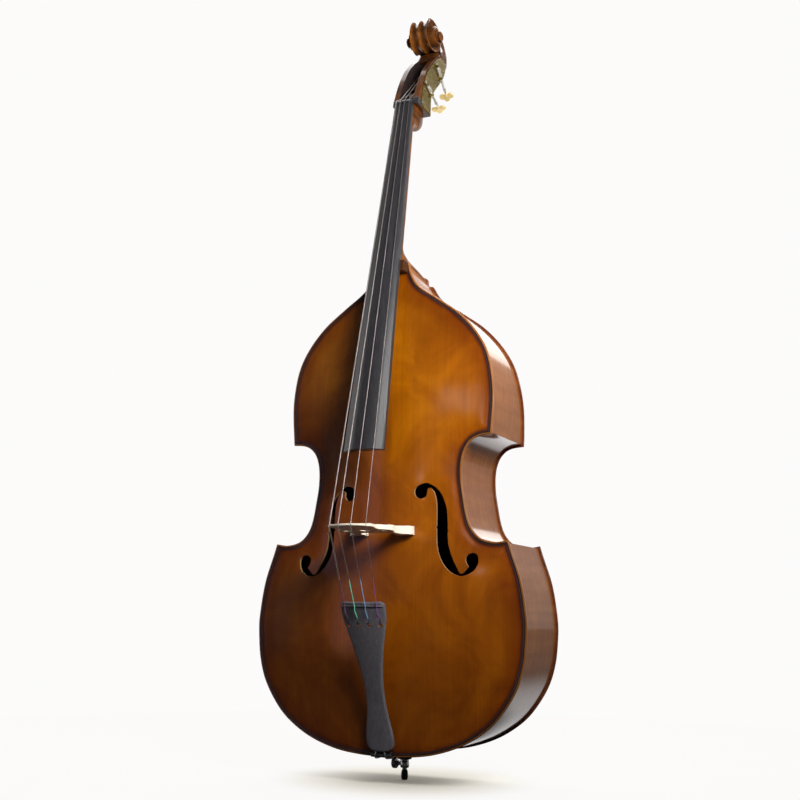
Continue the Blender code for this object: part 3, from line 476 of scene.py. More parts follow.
def plain_wood(name, dark, light, roughness=0.65, stretch=(60, 60, 5), coat=0.0):
    f = Finish(name, light, roughness, coat=coat)
    grain = f.noise(stretch, 5.0, 0.62)
    f.colour(f.ramp(grain, (0.3, dark), (0.7, light)))
    f.bump(grain, 0.0002, 0.35)
    f.roughness(grain, roughness - 0.08, roughness + 0.08)
    return f.material


def ebony(name, dark, light, roughness, shine=0.5):
    f = Finish(name, dark, roughness, shine=shine)
    grain = f.noise((220, 220, 7), 4.0, 0.6)
    f.colour(f.ramp(grain, (0.35, dark), (0.75, light)))
    f.roughness(grain, roughness - 0.07, roughness + 0.1)
    f.bump(grain, 0.00008, 0.3)
    return f.material


def metal(name, colour, roughness, wear=0.25, size=160.0, metallic=1.0):
    """Metal with darker spots of wear."""
    f = Finish(name, colour, roughness, metallic)
    spots = f.noise((size, size, size), 5.0, 0.65)
    f.colour(f.mix(f.ramp(spots, (0.42, wear), (0.62, 0.0)), colour, tuple(c * 0.45 for c in colour)))
    f.roughness(spots, roughness * 0.75, roughness * 1.4)
    return f.material


def engraved_brass():
    """Worn brass with a net of engraved curls."""
    f = Finish("engraved_brass", (0.42, 0.35, 0.15), 0.34, 1.0)
    drift = f.filled("ShaderNodeTexNoise", "Color", {}, Vector=f.place, Scale=60.0)
    warped = f.node("ShaderNodeVectorMath", operation="MULTIPLY_ADD")
    f.link(drift, warped.inputs[0])
    warped.inputs[1].default_value = (0.02, 0.02, 0.02)
    f.link(f.place, warped.inputs[2])
    curls = f.filled("ShaderNodeTexVoronoi", "Distance", {"feature": "DISTANCE_TO_EDGE"},
                     Vector=warped.outputs[0], Scale=95.0)
    lines = f.ramp(curls, (0.03, 1.0), (0.09, 0.0))
    tarnish = f.noise((55, 55, 55), 4.0, 0.6)
    base = f.ramp(tarnish, (0.3, (0.38, 0.28, 0.085)), (0.7, (0.68, 0.55, 0.21)))
    f.colour(f.mix(f.math("MULTIPLY", lines, 0.55), base, (0.1, 0.075, 0.03)))
    f.roughness(tarnish, 0.26, 0.46)
    f.bump(f.math("SUBTRACT", 1.0, lines), 0.0002, 0.6)
    return f.material


def wound_string(name, colour, pitch, roughness, metallic=1.0):
    """Tape-wound wire or silk: fine rings along the string."""
    f = Finish(name, colour, roughness, metallic)
    rings = f.filled("ShaderNodeTexWave", "Fac", {"wave_type": "BANDS", "bands_direction": "Z"},
                     Vector=f.place, Scale=pitch, Distortion=0.4)
    f.colour(f.ramp(rings, (0.2, tuple(c * 0.62 for c in colour)), (0.7, colour)))
    f.bump(rings, 0.0001, 0.4)
    return f.material


def rubber():
    f = Finish("tip_rubber", (0.02, 0.02, 0.021), 0.75)
    dust = f.noise((300, 300, 300), 4.0, 0.6)
    f.colour(f.ramp(dust, (0.4, (0.014, 0.014, 0.015)), (0.8, (0.045, 0.043, 0.04))))
    f.bump(dust, 0.0002, 0.4)
    return f.material


M = {
    "spruce": spruce_varnish(),
    "maple": maple_varnish("maple_varnish", (0.23, 0.074, 0.013), (0.31, 0.115, 0.025),
                           (0.14, 0.036, 0.008)),
    "head": maple_varnish("head_varnish", (0.035, 0.01, 0.003), (0.17, 0.052, 0.008), (0.014, 0.005, 0.002),
                          0.35),
    "neck": maple_varnish("neck_varnish", (0.05, 0.015, 0.004), (0.22, 0.068, 0.01), (0.018, 0.006, 0.002),
                          0.14),
    "scroll": maple_varnish("scroll_varnish", (0.055, 0.014, 0.004), (0.4, 0.128, 0.012),
                            (0.014, 0.005, 0.003), 0.7),
    "heel": maple_varnish("heel_varnish", (0.04, 0.012, 0.003), (0.065, 0.02, 0.004), (0.02, 0.006, 0.002),
                          0.5),
    "maple_back": maple_varnish("back_varnish", (0.11, 0.028, 0.01), (0.2, 0.058, 0.02),
                                (0.06, 0.014, 0.007)),
    "purfling": plain_wood("purfling", (0.01, 0.006, 0.005), (0.03, 0.016, 0.012), 0.4, coat=0.8),
    # painted shade: darker than the bare wood inside, for the closed body
    "inner": plain_wood("inner_wood", (0.1, 0.062, 0.034), (0.16, 0.105, 0.062), 0.8),
    "f_edge": plain_wood("f_hole_edge", (0.24, 0.13, 0.055), (0.4, 0.24, 0.11), 0.6),
    "bridge": plain_wood("bridge_maple", (0.84, 0.75, 0.58), (0.95, 0.9, 0.78), 0.5, (160, 12, 160)),
    "board": ebony("board_ebony", (0.011, 0.011, 0.014), (0.025, 0.024, 0.027), 0.34, 1.0),
    "fret": ebony("fret_ebony", (0.11, 0.105, 0.115), (0.15, 0.145, 0.155), 0.38),
    "tail": ebony("tail_ebony", (0.115, 0.108, 0.126), (0.17, 0.16, 0.182), 0.5),
    # painted shade: near black inside the pegbox's trough
    "trough": plain_wood("trough_painted_shade", (0.01, 0.006, 0.006), (0.022, 0.013, 0.012), 0.7),
    "roller": plain_wood("roller_rosewood", (0.03, 0.014, 0.009), (0.08, 0.04, 0.025), 0.5),
    "brass": engraved_brass(),
    "gear": metal("gear_brass", (0.62, 0.45, 0.18), 0.35),
    "gold": metal("key_gold", (0.96, 0.76, 0.36), 0.4, 0.1, metallic=0.6),
    "nickel": metal("nickel", (0.74, 0.73, 0.7), 0.17, 0.15),
    "shaft": metal("shaft_nickel", (0.8, 0.77, 0.68), 0.34, 0.15, metallic=0.85),
    "steel": metal("rod_steel", (0.58, 0.58, 0.58), 0.26, 0.25, 90.0),
    "rubber": rubber(),
}


# ---- table and back -------------------------------------------------------------------
F_HOLE = [(0.088, 0.6112), (0.077, 0.6157), (0.0728, 0.6264), (0.077, 0.637), (0.089, 0.644),
          (0.101, 0.6463), (0.11, 0.6428), (0.119, 0.637), (0.131, 0.625), (0.1405, 0.606), (0.1465, 0.584),
          (0.1485, 0.557), (0.149, 0.53), (0.1515, 0.508), (0.16, 0.484), (0.171, 0.463), (0.1822, 0.447),
          (0.192, 0.455), (0.1982, 0.463), (0.1937, 0.4695), (0.1913, 0.48), (0.197, 0.4885),
          (0.2085, 0.492), (0.219, 0.486), (0.2218, 0.4765), (0.2185, 0.4625), (0.209, 0.451),
          (0.1945, 0.444), (0.18, 0.443), (0.1625, 0.4496), (0.1478, 0.463), (0.136, 0.482),
          (0.1295, 0.503), (0.127, 0.53), (0.1262, 0.585), (0.1244, 0.6065), (0.1195, 0.623),
          (0.112, 0.6328), (0.1058, 0.6345), (0.1028, 0.63), (0.103, 0.6235), (0.0996, 0.6155)]
NICKS = [((0.1262, 0.548), -1), ((0.1492, 0.54), 1)]
BACK_TOP, RIB_SLANT = 1.1395, 0.019        # the ribs slope down to a lower back at the neck
NICK_DEPTH, EDGE_FADE = 0.0028, 0.085       # the sunburst's band runs out at EDGE_FADE
SMOOTH_FROM, SMOOTH_ROUNDS = 0.035, 60     # where the arching is evened out
EDGE_ROUND, EDGE_UNDER = 0.0026, 0.0018
PURFLING = (0.0062, 0.0082)                # its two edges, from the rim
EDGE_RINGS = (0.0006, 0.0014, 0.0026, 0.0045, 0.0075, 0.011, 0.015, 0.02, 0.027)


def edge_drop(d, radius=EDGE_UNDER):
    """How far a rounded edge falls away, at the distance d from the rim."""
    return radius - np.sqrt(np.maximum(radius * radius - (radius - np.minimum(d, radius)) ** 2, 0))


def edge_rise(d):
    """Height of a plate's outer skin over the rib plane, from its rounded edge inwards."""
    return PLATE - edge_drop(d, EDGE_ROUND) - 0.0009 * np.exp(-((d - 0.012) / 0.0055) ** 2)


def ring_points(outline, spacings):
    """Points on curves parallel to the outline, leaving out where they fold over."""
    closed = np.vstack([outline[-1:], outline, outline[:1]])
    found = []
    for distance in spacings:
        moved = offset_run(closed, distance)[1:-1]
        moved = moved[inside(moved, outline)]
        found.append(moved[loop_distance(moved, outline) > distance * 0.985])
    return np.vstack(found)


def arching(distance):
    """Height of the table's arch at a distance from its edge."""
    s = np.minimum(1.0, distance / ARCH_REACH)
    return ARCH * s * s * (3 - 2 * s)


def smooth_field(values, faces, count, free, rounds):
    """Neighbour averaging of one value per vertex, only where `free`."""
    pairs = np.vstack([faces[:, [0, 1]], faces[:, [1, 2]], faces[:, [2, 0]]])
    pairs = np.vstack([pairs, pairs[:, ::-1]])
    degree = np.bincount(pairs[:, 0], minlength=count)
    for _ in range(rounds):
        mean = np.bincount(pairs[:, 0], values[pairs[:, 1]], minlength=count) / degree
        values = np.where(free, mean, values)
    return values


def make_table():
    """Arched front with its two f-holes; material 1 is the bare wood in the holes."""
    hole = smooth_run(F_HOLE, 0.0035, closed=True)
    for (x, z), way in NICKS:
        near = np.hypot(hole[:, 0] - x, hole[:, 1] - z)
        hole[np.argmin(near), 0] += way * NICK_DEPTH
    holes = [hole, hole * [-1, 1]]
    grid = grid_in(OUTLINE, *PLATE_BOX, 0.01, 0.031)
    extra = np.vstack([ring_points(OUTLINE, EDGE_RINGS), grid])
    for hole in holes:
        extra = extra[loop_distance(extra, hole) > 0.003]
    state = {}

    def front(flat):
        state["d"] = loop_distance(flat, OUTLINE)
        state["arch"] = arching(state["d"])
        return np.stack([flat[:, 0], RIB_FRONT - edge_rise(state["d"]) - state["arch"], flat[:, 1]], 1)

    def back(flat):
        return np.stack([flat[:, 0], RIB_FRONT - edge_drop(state["d"]) - state["arch"], flat[:, 1]], 1)

    bm, flat, faces = region_mesh(OUTLINE, front, back, extra, holes, hole_material=1)
    arch = smooth_field(state["arch"], faces, len(flat), state["d"] > SMOOTH_FROM, SMOOTH_ROUNDS)
    shift = arch - state["arch"]
    bm.verts.ensure_lookup_table()
    for k, delta in enumerate(np.concatenate([shift, shift])):
        bm.verts[k].co.y -= delta
    obj = publish("table_arched", bm, [M["spruce"], M["f_edge"]], "table", sharp=50)
    layer = obj.data.attributes.new("edge", "FLOAT", "POINT")
    layer.data.foreach_set("value", np.tile(np.clip(state["d"] / EDGE_FADE, 0, 1), 2).astype(np.float32))


def make_back():
    """Flat back, bent forwards above the break, with a round button under the heel."""
    arc = [(0.0368 * sin(a), 1.1535 + 0.0145 * cos(a)) for a in (radians(9 * k) for k in range(11))]
    half = np.vstack([arc, [(0.037, BACK_TOP + 0.0015), (0.048, BACK_TOP)],
                      HALF_OUTLINE[HALF_OUTLINE[:, 1] < BACK_TOP - 0.003]])
    outline = mirrored(half)
    grid = grid_in(outline, *PLATE_BOX, 0.035, 0.02)
    grid = grid[np.abs(grid[:, 1] - BREAK_Z) > 0.008]
    lines = [np.stack([np.linspace(-0.24, 0.24, 30), np.full(30, BREAK_Z + dz)], 1)
             for dz in (-0.004, 0, 0.004)]

    def skin(flat, edge):
        rise = back_edge(flat[:, 1]) + edge(loop_distance(flat, outline))
        return np.stack([flat[:, 0], rise, flat[:, 1]], 1)

    bm, _, _ = region_mesh(outline, lambda flat: skin(flat, edge_rise), lambda flat: skin(flat, edge_drop),
                           np.vstack([ring_points(outline, EDGE_RINGS[:6]), grid, *lines]))
    publish("back_flat", bm, M["maple_back"], "back", sharp=50)


def corner_plane(first, second):
    """Tip of a corner, and the direction across its mitre."""
    tip = first[-1]
    back, on = first[-3] - tip, second[2] - tip
    along = back / np.linalg.norm(back) + on / np.linalg.norm(on)
    along /= np.linalg.norm(along)
    return tip, np.array([-along[1], along[0]])


CORNERS = {"seam": (np.zeros(2), np.array([1.0, 0.0])),
           "upper": corner_plane(RUNS["upper"], RUNS["centre"]),
           "lower": corner_plane(RUNS["centre"], RUNS["lower"])}
RUN_ENDS = {"upper": ("seam", "upper"), "centre": ("upper", "lower"), "lower": ("lower", "seam")}


def clipped(run, run_name, gap):
    """The run cut at the mitres and at the centre seam, `gap` short of them."""
    out = list(run)
    middle = RUNS[run_name][len(run) // 2]
    for corner in RUN_ENDS[run_name]:
        tip, across = CORNERS[corner]
        if (middle - tip) @ across < 0:
            across = -across
        past = [(p - tip) @ across - gap for p in out]
        while past[1] <= 0:
            out.pop(0)
            past.pop(0)
        out[0] = out[0] + (out[1] - out[0]) * (past[0] / (past[0] - past[1]))
        out.reverse()
    return np.array(out)


def resampled(run, count):
    """The run as `count` points at even distances."""
    length = np.r_[0, np.cumsum(np.linalg.norm(np.diff(run, axis=0), axis=1))]
    target = np.linspace(0, length[-1], count)
    return np.stack([np.interp(target, length, run[:, k]) for k in (0, 1)], 1)


def edge_run(run_name, distance, gap):
    """A bout's outline moved inwards and cut to length, with as many points as the bout has."""
    run = RUNS[run_name]
    return resampled(clipped(offset_run(run, distance), run_name, gap), len(run))


def slant(z, depth):
    """How far a rib's upper edge is let down, `depth` of the way from table to back."""
    return RIB_SLANT * depth * min(1.0, max(0.0, (z - 1.125) / 0.03))


def make_ribs():
    for side, label in SIDES:
        for run_name in RUNS:
            rings = []
            outer, inner = [edge_run(run_name, d, GAP / 2) for d in (OVERHANG, OVERHANG + RIB)]
            for a, b in zip(outer, inner):
                ring = []
                for (x, z), depths in ((a, np.linspace(0, 1, 5)), (b, np.linspace(1, 0, 5))):
                    near, far = RIB_FRONT + GAP, back_edge(z - slant(z, 1)) - GAP
                    ring += [(side * x, near + (far - near) * t, z - slant(z, t)) for t in depths]
                rings.append(ring)
            name = f"rib_{run_name}_{label}"
            publish(f"{name}_bent", loft_mesh(rings), M["maple"], name)


def make_inner():
    """Neck block and linings let down with the ribs; the rest of the inner woodwork stays as it is."""
    for node in ("neck_block", "table_linings", "back_linings"):
        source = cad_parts[node]
        bm = bmesh.new()
        bm.from_mesh(source.data)
        bm.transform(source.matrix_world)
        for v in bm.verts:
            v.co.z -= slant(v.co.z, min(1.0, max(0.0, (v.co.y - RIB_FRONT) / 0.11))) + 0.0004
        publish(f"{node}_fitted", bm, M["inner"], node, bevel=0.0006, sharp=35)


def make_purfling():
    """Dark line let into both plates, parallel to the edge."""
    loops = []
    for distance in PURFLING:
        half = [edge_run(run_name, distance, 0.0) for run_name in RUNS]
        loops.append(mirrored(np.vstack([half[0], half[1][1:], half[2][1:]])))
    for label, face, slot in (("table", -1, "spruce_front"), ("back", 1, "maple_varnished")):
        rings = []
        for pair in zip(*loops):
            ring = []
            for row, lift in ((0, 0.00012), (1, 0.00012), (1, -0.0006), (0, -0.0006)):
                x, z = pair[row]
                rise = float(edge_rise(PURFLING[row])) + lift
                if face < 0:
                    rise += 0.00018
                    base = RIB_FRONT
                else:
                    z = min(z, BACK_TOP + 0.0005 - PURFLING[row])
                    base = float(back_edge(z))
                ring.append((x, base + face * rise, z))
            rings.append(ring)
        publish(f"purfling_{label}", loft_mesh(rings, closed=True), M["purfling"])


# ---- neck and head --------------------------------------------------------------------
NECK_DEPTH, HEAD_ROUND = 0.0262, 0.0022    # neck behind the fingerboard; edges of the pegbox


def board_under(z):
    return BOARD_UNDER[0] - BOARD_UNDER[1] * (NUT_Z - z)


def board_half(z):
    return BOARD_HALF[0] + BOARD_HALF[1] * (NUT_Z - z)


def make_neck_shaft():
    """Neck from the heel on the ribs up to the chin under the pegbox: D sections on a moving base."""
    plate_top = BODY_TOP + GAP

    def rib_top(y):
        return BODY_TOP - OVERHANG + 0.0006 - RIB_SLANT * (y - RIB_FRONT) / 0.118

    heel = [((0.016, rib_top(0.016)), (0.0136, 1.164), 0.035),
            ((0.004, rib_top(0.004)), (0.004, 1.169), 0.0362),
            ((-0.015, rib_top(-0.015)), (-0.012, 1.1745), 0.036),
            ((-0.045, rib_top(-0.045)), (-0.034, 1.18), 0.0355),
            ((-0.08, rib_top(-0.08)), (-0.058, 1.185), 0.035),
            ((-0.1, rib_top(-0.1)), (-0.073, 1.189), 0.0352),
            ((-0.118, plate_top + 0.0012), (-0.0845, 1.1945), 0.0354),
            ((-0.1318, plate_top + 0.0012), (-0.0915, 1.203), 0.0354)]
    shaft = []
    for z in np.linspace(1.185, 1.52, 14):
        depth = NECK_DEPTH if z > 1.26 else NECK_DEPTH - 0.004 * (1.26 - z) / 0.075
        lag = 0.03 * max(0.0, (1.3 - z) / 0.115) ** 2
        shaft.append(((board_under(z) + GAP, z), (board_under(z) + depth + GAP, z + lag), board_half(z)))
    chin = [((board_under(1.54), 1.54), (-0.0235, 1.5335), board_half(1.54)),
            ((board_under(1.556), 1.556), (-0.009, 1.5375), 0.024),
            ((board_under(1.568), 1.568), (0.007, 1.5425), 0.0238),
            ((board_under(1.577), 1.577), (0.021, 1.55), 0.0236),
            ((board_under(1.583), 1.583), (0.0315, 1.561), 0.0234),
            ((-0.05, 1.5875), (0.0368, 1.576), 0.0232), ((-0.0495, 1.595), (0.0372, 1.592), 0.023),
            ((-0.044, 1.601), (0.031, 1.606), 0.0225)]
    stations = smooth_run([(*q, *p, w) for q, p, w in heel + shaft + chin], 0.006)
    rings = []
    for qy, qz, py, pz, w in stations:
        w -= 0.0016 * min(1.0, max(0.0, (qz - 1.19) / 0.05)) * (qz < 1.565)
        q, p = Vector((0, qy, qz)), Vector((0, py, pz))
        ring = [(-w, qy, qz), (w, qy, qz)]
        for k in range(25):
            a = pi * k / 24
            t = 0.22 + 0.78 * sin(a) ** 0.92
            c = q + (p - q) * t
            ring.append((w * cos(a), c.y, c.z))
        rings.append(ring)
    publish("neck_shaft", loft_mesh(rings), M["neck"], "neck", sharp=50)
    rings = []
    for x, inset in ((-0.0432, 0.001), (-0.0424, 0.0), (0.0424, 0.0), (0.0432, 0.001)):
        front, seat = -0.1325 + inset, RIB_FRONT - PLATE - 0.0016
        rings.append([(x, seat, 1.1375 + inset), (x, seat, 1.1635 - inset),
                      (x, front + 0.001, 1.1635 - inset), (x, front, 1.1625 - inset),
                      (x, front, 1.1385 + inset), (x, front + 0.001, 1.1375 + inset)])
    publish("neck_root", loft_mesh(rings), M["heel"], bevel=0.0008, sharp=35)


PEGBOX = [(-0.0497, 1.5883), (-0.046, 1.606), (-0.024, 1.656), (0.004, 1.702), (0.027, 1.73),
          (0.068, 1.766), (0.095, 1.778), (0.12, 1.768), (0.109, 1.733), (0.0895, 1.706),
          (0.048, 1.661), (0.03, 1.635), (0.027, 1.585)]
TROUGH = [(-0.07, 1.6035), (-0.02, 1.6), (0.014, 1.602), (0.017, 1.632), (0.036, 1.655),
          (0.077, 1.7), (0.095, 1.728), (0.099, 1.748), (0.08, 1.757), (0.04, 1.775),
          (-0.03, 1.71), (-0.07, 1.64)]


def tuner_frame(name):
    """Side, shaft start, direction along the shaft and across it, worm middle, roller axis (y, z)."""
    side, start, along, worm_at = TUNERS[name]
    start, along = Vector(start), Vector(along).normalized()
    across = Vector((-along.y, along.x))
    worm = start + along * worm_at
    return side, start, along, across, worm, worm + across * GEAR_OFFSET


def make_pegbox():
    """Cheeks with the trough and the wheels' wells cut out, the throat above them, the collar at the nut;
    the trough's faces get near-black painted shade.
    """
    front = smooth_run(PEGBOX[1:8], 0.006)
    rear = smooth_run(PEGBOX[7:12], 0.006)
    outline = [PEGBOX[0]] + [tuple(p) for p in front] + [tuple(p) for p in rear[1:]] + [PEGBOX[12]]
    box = publish("pegbox", prism_mesh(outline, CHEEK_X), M["head"])
    floor = smooth_run(TROUGH[1:8], 0.006)
    cut = [TROUGH[0]] + [tuple(p) for p in floor] + TROUGH[8:]
    cutters = [("trough", prism_mesh(cut, SLOT_X))]
    for name in TUNERS:
        side, *_, roller = tuner_frame(name)
        well = [(JOURNAL_R + GAP, -0.0295), (JOURNAL_R + GAP, GEAR_X[0] - 0.0005),
                (GEAR_R + 0.0015, GEAR_X[0] - 0.0005), (GEAR_R + 0.0015, 0.045)]
        cutters.append((f"well_{name}", turned_mesh(well, (0, *roller), (side, 0, 0), 36)))
    carve(box, cutters)
    add_bevel(box, HEAD_ROUND, 40)
    apply_modifiers(box)
    box.data.materials.append(M["trough"])
    # faces in the trough take the second material, painted shade
    middles = np.array([tuple(face.center) for face in box.data.polygons])
    hollow_painted_shade = inside(middles[:, 1:], cut) | (loop_distance(middles[:, 1:], cut) < 0.0002)
    hollow_painted_shade &= np.abs(middles[:, 0]) < SLOT_X + 0.0002
    box.data.polygons.foreach_set("material_index", hollow_painted_shade.astype(np.int32))
    rings = []
    for z, near, far, half in ((1.7585, 0.066, 0.1225, 0.0324), (1.768, 0.069, 0.1262, 0.0318),
                               (1.776, 0.073, 0.1285, 0.0296), (1.785, 0.078, 0.1305, 0.027),
                               (1.795, 0.084, 0.1315, 0.0252), (1.806, 0.092, 0.1315, 0.024)):
        middle, deep = (near + far) / 2, (far - near) / 2
        rings.append([(half * abs(cos(a)) ** 0.35 * (1 if cos(a) > 0 else -1),
                       middle + deep * abs(sin(a)) ** 0.6 * (1 if sin(a) > 0 else -1), z)
                      for a in (radians(7.5 * k + 3.75) for k in range(48))])
    publish("head_throat", loft_mesh(rings), M["head"], sharp=60)
    outline = [(-0.0336, 1.5887), (0.0336, 1.5887), (0.0336, 1.6072), (0.02, 1.6072), (0.0194, 1.6),
               (-0.0194, 1.6), (-0.02, 1.6072), (-0.0336, 1.6072)]
    rings = [[(x, back if back else -0.0512 + 0.24 * (z - 1.5885), z) for x, z in outline]
             for back in (0, -0.0245)]
    publish("head_collar", loft_mesh(rings), M["board"], bevel=0.0012, sharp=35)


def apply_modifiers(obj):
    bpy.context.view_layer.update()
    done = bpy.data.meshes.new_from_object(obj.evaluated_get(bpy.context.evaluated_depsgraph_get()))
    obj.modifiers.clear()
    obj.data = done
    shade_smooth(done, 40)


def carve(obj, cutters):
    """Cuts the meshes out of the object, one after another, and removes them."""
    for name, bm in cutters:
        cutter = solid_object(name, bm)
        mesh = cutter.data
        cut = obj.modifiers.new(name, "BOOLEAN")
        cut.operation = "DIFFERENCE"
        cut.object = cutter
        cut.solver = "EXACT"
        apply_modifiers(obj)
        bpy.data.objects.remove(cutter)
        bpy.data.meshes.remove(mesh)


VOLUTE, VOLUTE_START = (0.06, 1.8165), radians(-38)
TURN, TURNS = 72, 2.12                     # steps in one turn of the scroll, and turns
RAMP = (0.04, 0.09, 0.17, 0.27, 0.38, 0.5, 0.62, 0.72, 0.79, 0.84, 0.88, 0.92, 0.96)
EYE_NECK, RAMP_DEPTH, FLUTE_DEPTH = 0.0098, 0.0105, 0.0044
EYE = [(0.0118, 0.026), (0.0104, 0.035), (0.01, 0.039), (0.0106, 0.0412), (0.0124, 0.043), (0.0131, 0.0448),
       (0.0126, 0.0466), (0.0104, 0.048), (0.007, 0.0488), (0.003, 0.0491), (0.0006, 0.0492)]


def volute_r(phi):
    """Radius of the scroll's rim after turning by phi; volute_w is half its width there."""
    return 0.0636 * exp(-0.1 * phi) + 0.024 * exp(-1.1 * phi)


def volute_w(phi):
    return 0.016 + 0.0122 * phi / (2 * pi) + 0.0135 * exp(-(phi / 0.9) ** 2)


def make_scroll():
    """Spiral of about two turns: fluted back, and on each side a hollowed ramp up to the eye; its vertices
    carry painted shade for the deep parts of the ramps and flutes.
    """
    cy, cz = VOLUTE
    last = int(TURN * TURNS)
    phis = [2 * pi * i / TURN for i in range(last + 1)]
    bm = bmesh.new()
    # painted shade of each vertex, read by the varnish
    hollow_painted_shade = bm.verts.layers.float.new("hollow_painted_shade")

    def point(phi, radius, x, shade=0.0):
        a = VOLUTE_START + phi
        made = bm.verts.new((x, cy + radius * cos(a), cz + radius * sin(a)))
        made[hollow_painted_shade] = shade
        return made

    rims = {}
    for side in (1, -1):
        rim = rims[side] = [point(phi, volute_r(phi), side * volute_w(phi)) for phi in phis]
        rows = []
        for i, phi in enumerate(phis):
            r0, w0 = volute_r(phi), volute_w(phi)
            beyond = i + TURN - last
            if beyond <= 0:
                r1, w1 = volute_r(phi + 2 * pi), volute_w(phi + 2 * pi)
            else:
                fade = exp(-beyond / 9)
                r1 = EYE_NECK + (volute_r(phis[-1]) - EYE_NECK) * fade
                w1 = w0 + (volute_w(phis[-1]) - w0) * fade
            width = r0 - r1
            depth = RAMP_DEPTH * min(1.0, 0.12 + phi / 2.6) * min(1.0, width / 0.024)
            row = [rim[i]]
            for t in RAMP:
                x = w0 + 0.0003 - depth * sin(pi / 2 * min(1.0, max(0.0, (t - 0.09) / 0.62))) ** 1.4
                wall = min(1.0, max(0.0, (t - 0.8) / 0.17))
                x += (w1 - x) * wall * wall * (3 - 2 * wall)
                # painted shade, deepest low in the ramp before the wall up to the inner turn
                dark = 0.85 * min(1.0, phi / 1.5) * exp(-((t - 0.7) / 0.24) ** 2)
                row.append(point(phi, r0 - width * t, side * x, dark))
            row.append(rim[i + TURN] if beyond <= 0 else point(phi, r1, side * w1))
            rows.append(row)
        for a, b in zip(rows, rows[1:]):
            for k in range(len(a) - 1):
                bm.faces.new([a[k], b[k], b[k + 1], a[k + 1]])
        loop = [row[-1] for row in rows[last - TURN:]] + rows[last][-2:0:-1]
        bm.faces.new(loop)
    band = []
    for i, phi in enumerate(phis[:TURN + 1]):
        r, w = volute_r(phi), volute_w(phi)
        row = [rims[1][i]]
        for c in (0.93, 0.8, 0.62, 0.42, 0.22, 0.08, 0.0, -0.08, -0.22, -0.42, -0.62, -0.8, -0.93):
            flute = sin(pi * min(1.0, abs(c) / 0.96)) ** 1.2
            # the flute's depth also sets its painted shade
            row.append(point(phi, r - FLUTE_DEPTH * flute * min(1.0, 0.25 + phi / 1.5), w * c,
                             0.75 * flute))
        band.append(row + [rims[-1][i]])
    for a, b in zip(band, band[1:]):
        for k in range(len(a) - 1):
            bm.faces.new([a[k], a[k + 1], b[k + 1], b[k]])
    publish("scroll", bm, M["scroll"], sharp=55)
    for side, label in SIDES:
        eye = turned_mesh(EYE, (0, cy, cz), (side, 0, 0), 40)
        publish(f"scroll_eye_{label}", eye, M["scroll"], sharp=60)


# ---- fingerboard and nut --------------------------------------------------------------
GROOVE_DEPTH = 0.0011


def board_reach(half):
    """Angle from the middle of the playing surface to its side."""
    return atan2(half, sqrt(BOARD_RADIUS**2 - half**2))


def board_arc(crown, reach, count):
    """Points (x, y) from the treble side to the bass side of a surface with its crown at y = crown."""
    centre = crown + BOARD_RADIUS
    return [(BOARD_RADIUS * sin(a), centre - BOARD_RADIUS * cos(a))
            for a in np.linspace(reach, -reach, count)]


def make_board():
    """Crowned fingerboard with a flatter facet under the lowest string."""
    rings = []
    for z in (BOARD_END_Z, BOARD_END_Z + 0.0015, 0.95, 1.25, NUT_Z - GAP):
        inset = 0.0012 if z == BOARD_END_Z else 0.0
        half, under = board_half(z) - inset, board_under(z) - inset
        crown = BOARD_CROWN[0] - BOARD_CROWN[1] * (NUT_Z - z) + inset
        reach = board_reach(half)
        arc = board_arc(crown, reach, 41)
        facet = reach * 0.42 * min(1.0, (NUT_Z - z) / 0.6)
        if facet > 0.02:
            x0, y0 = arc[-1]
            a = facet * 1.6 - reach
            x1, y1 = BOARD_RADIUS * sin(a), crown + BOARD_RADIUS - BOARD_RADIUS * cos(a)
            chord = [y0 + (y1 - y0) * (x - x0) / (x1 - x0) for x, _ in arc]
            arc = [(x, y if x > x1 else y + 0.9 * (flat - y)) for (x, y), flat in zip(arc, chord)]
        rings.append([(x, under, z) for x in (-half, -half * 0.5, half * 0.5, half)]
                     + [(x, y, z) for x, y in arc])
    bm = loft_mesh(rings)
    publish("fingerboard_shaped", bm, M["board"], "fingerboard", bevel=0.0007, sharp=30)


def make_nut():
    """Nut with a groove for each string."""
    rings = []
    half = BOARD_HALF[0] + 0.0002
    for rise, drop in ((0.0002, 0.0), (0.0015, -0.0006), (0.005, -0.0002), (0.0075, 0.0022),
                       (0.0082, 0.006)):
        z = NUT_Z + rise
        ring = [(-half, BOARD_UNDER[0], z), (half, BOARD_UNDER[0], z)]
        for x, y in board_arc(NUT_CROWN + drop, board_reach(half), 97):
            for _, x_nut, radius in STRINGS.values():
                if abs(x - x_nut) < radius * 1.15:
                    y += GROOVE_DEPTH
            ring.append((x, y, z))
        rings.append(ring)
    publish("nut_slotted", loft_mesh(rings), M["board"], "nut", sharp=30)


# ---- bridge ---------------------------------------------------------------------------
BRIDGE_FOOT, FOOT_THICK, CROWN_THICK = -0.128, 0.022, 0.0052


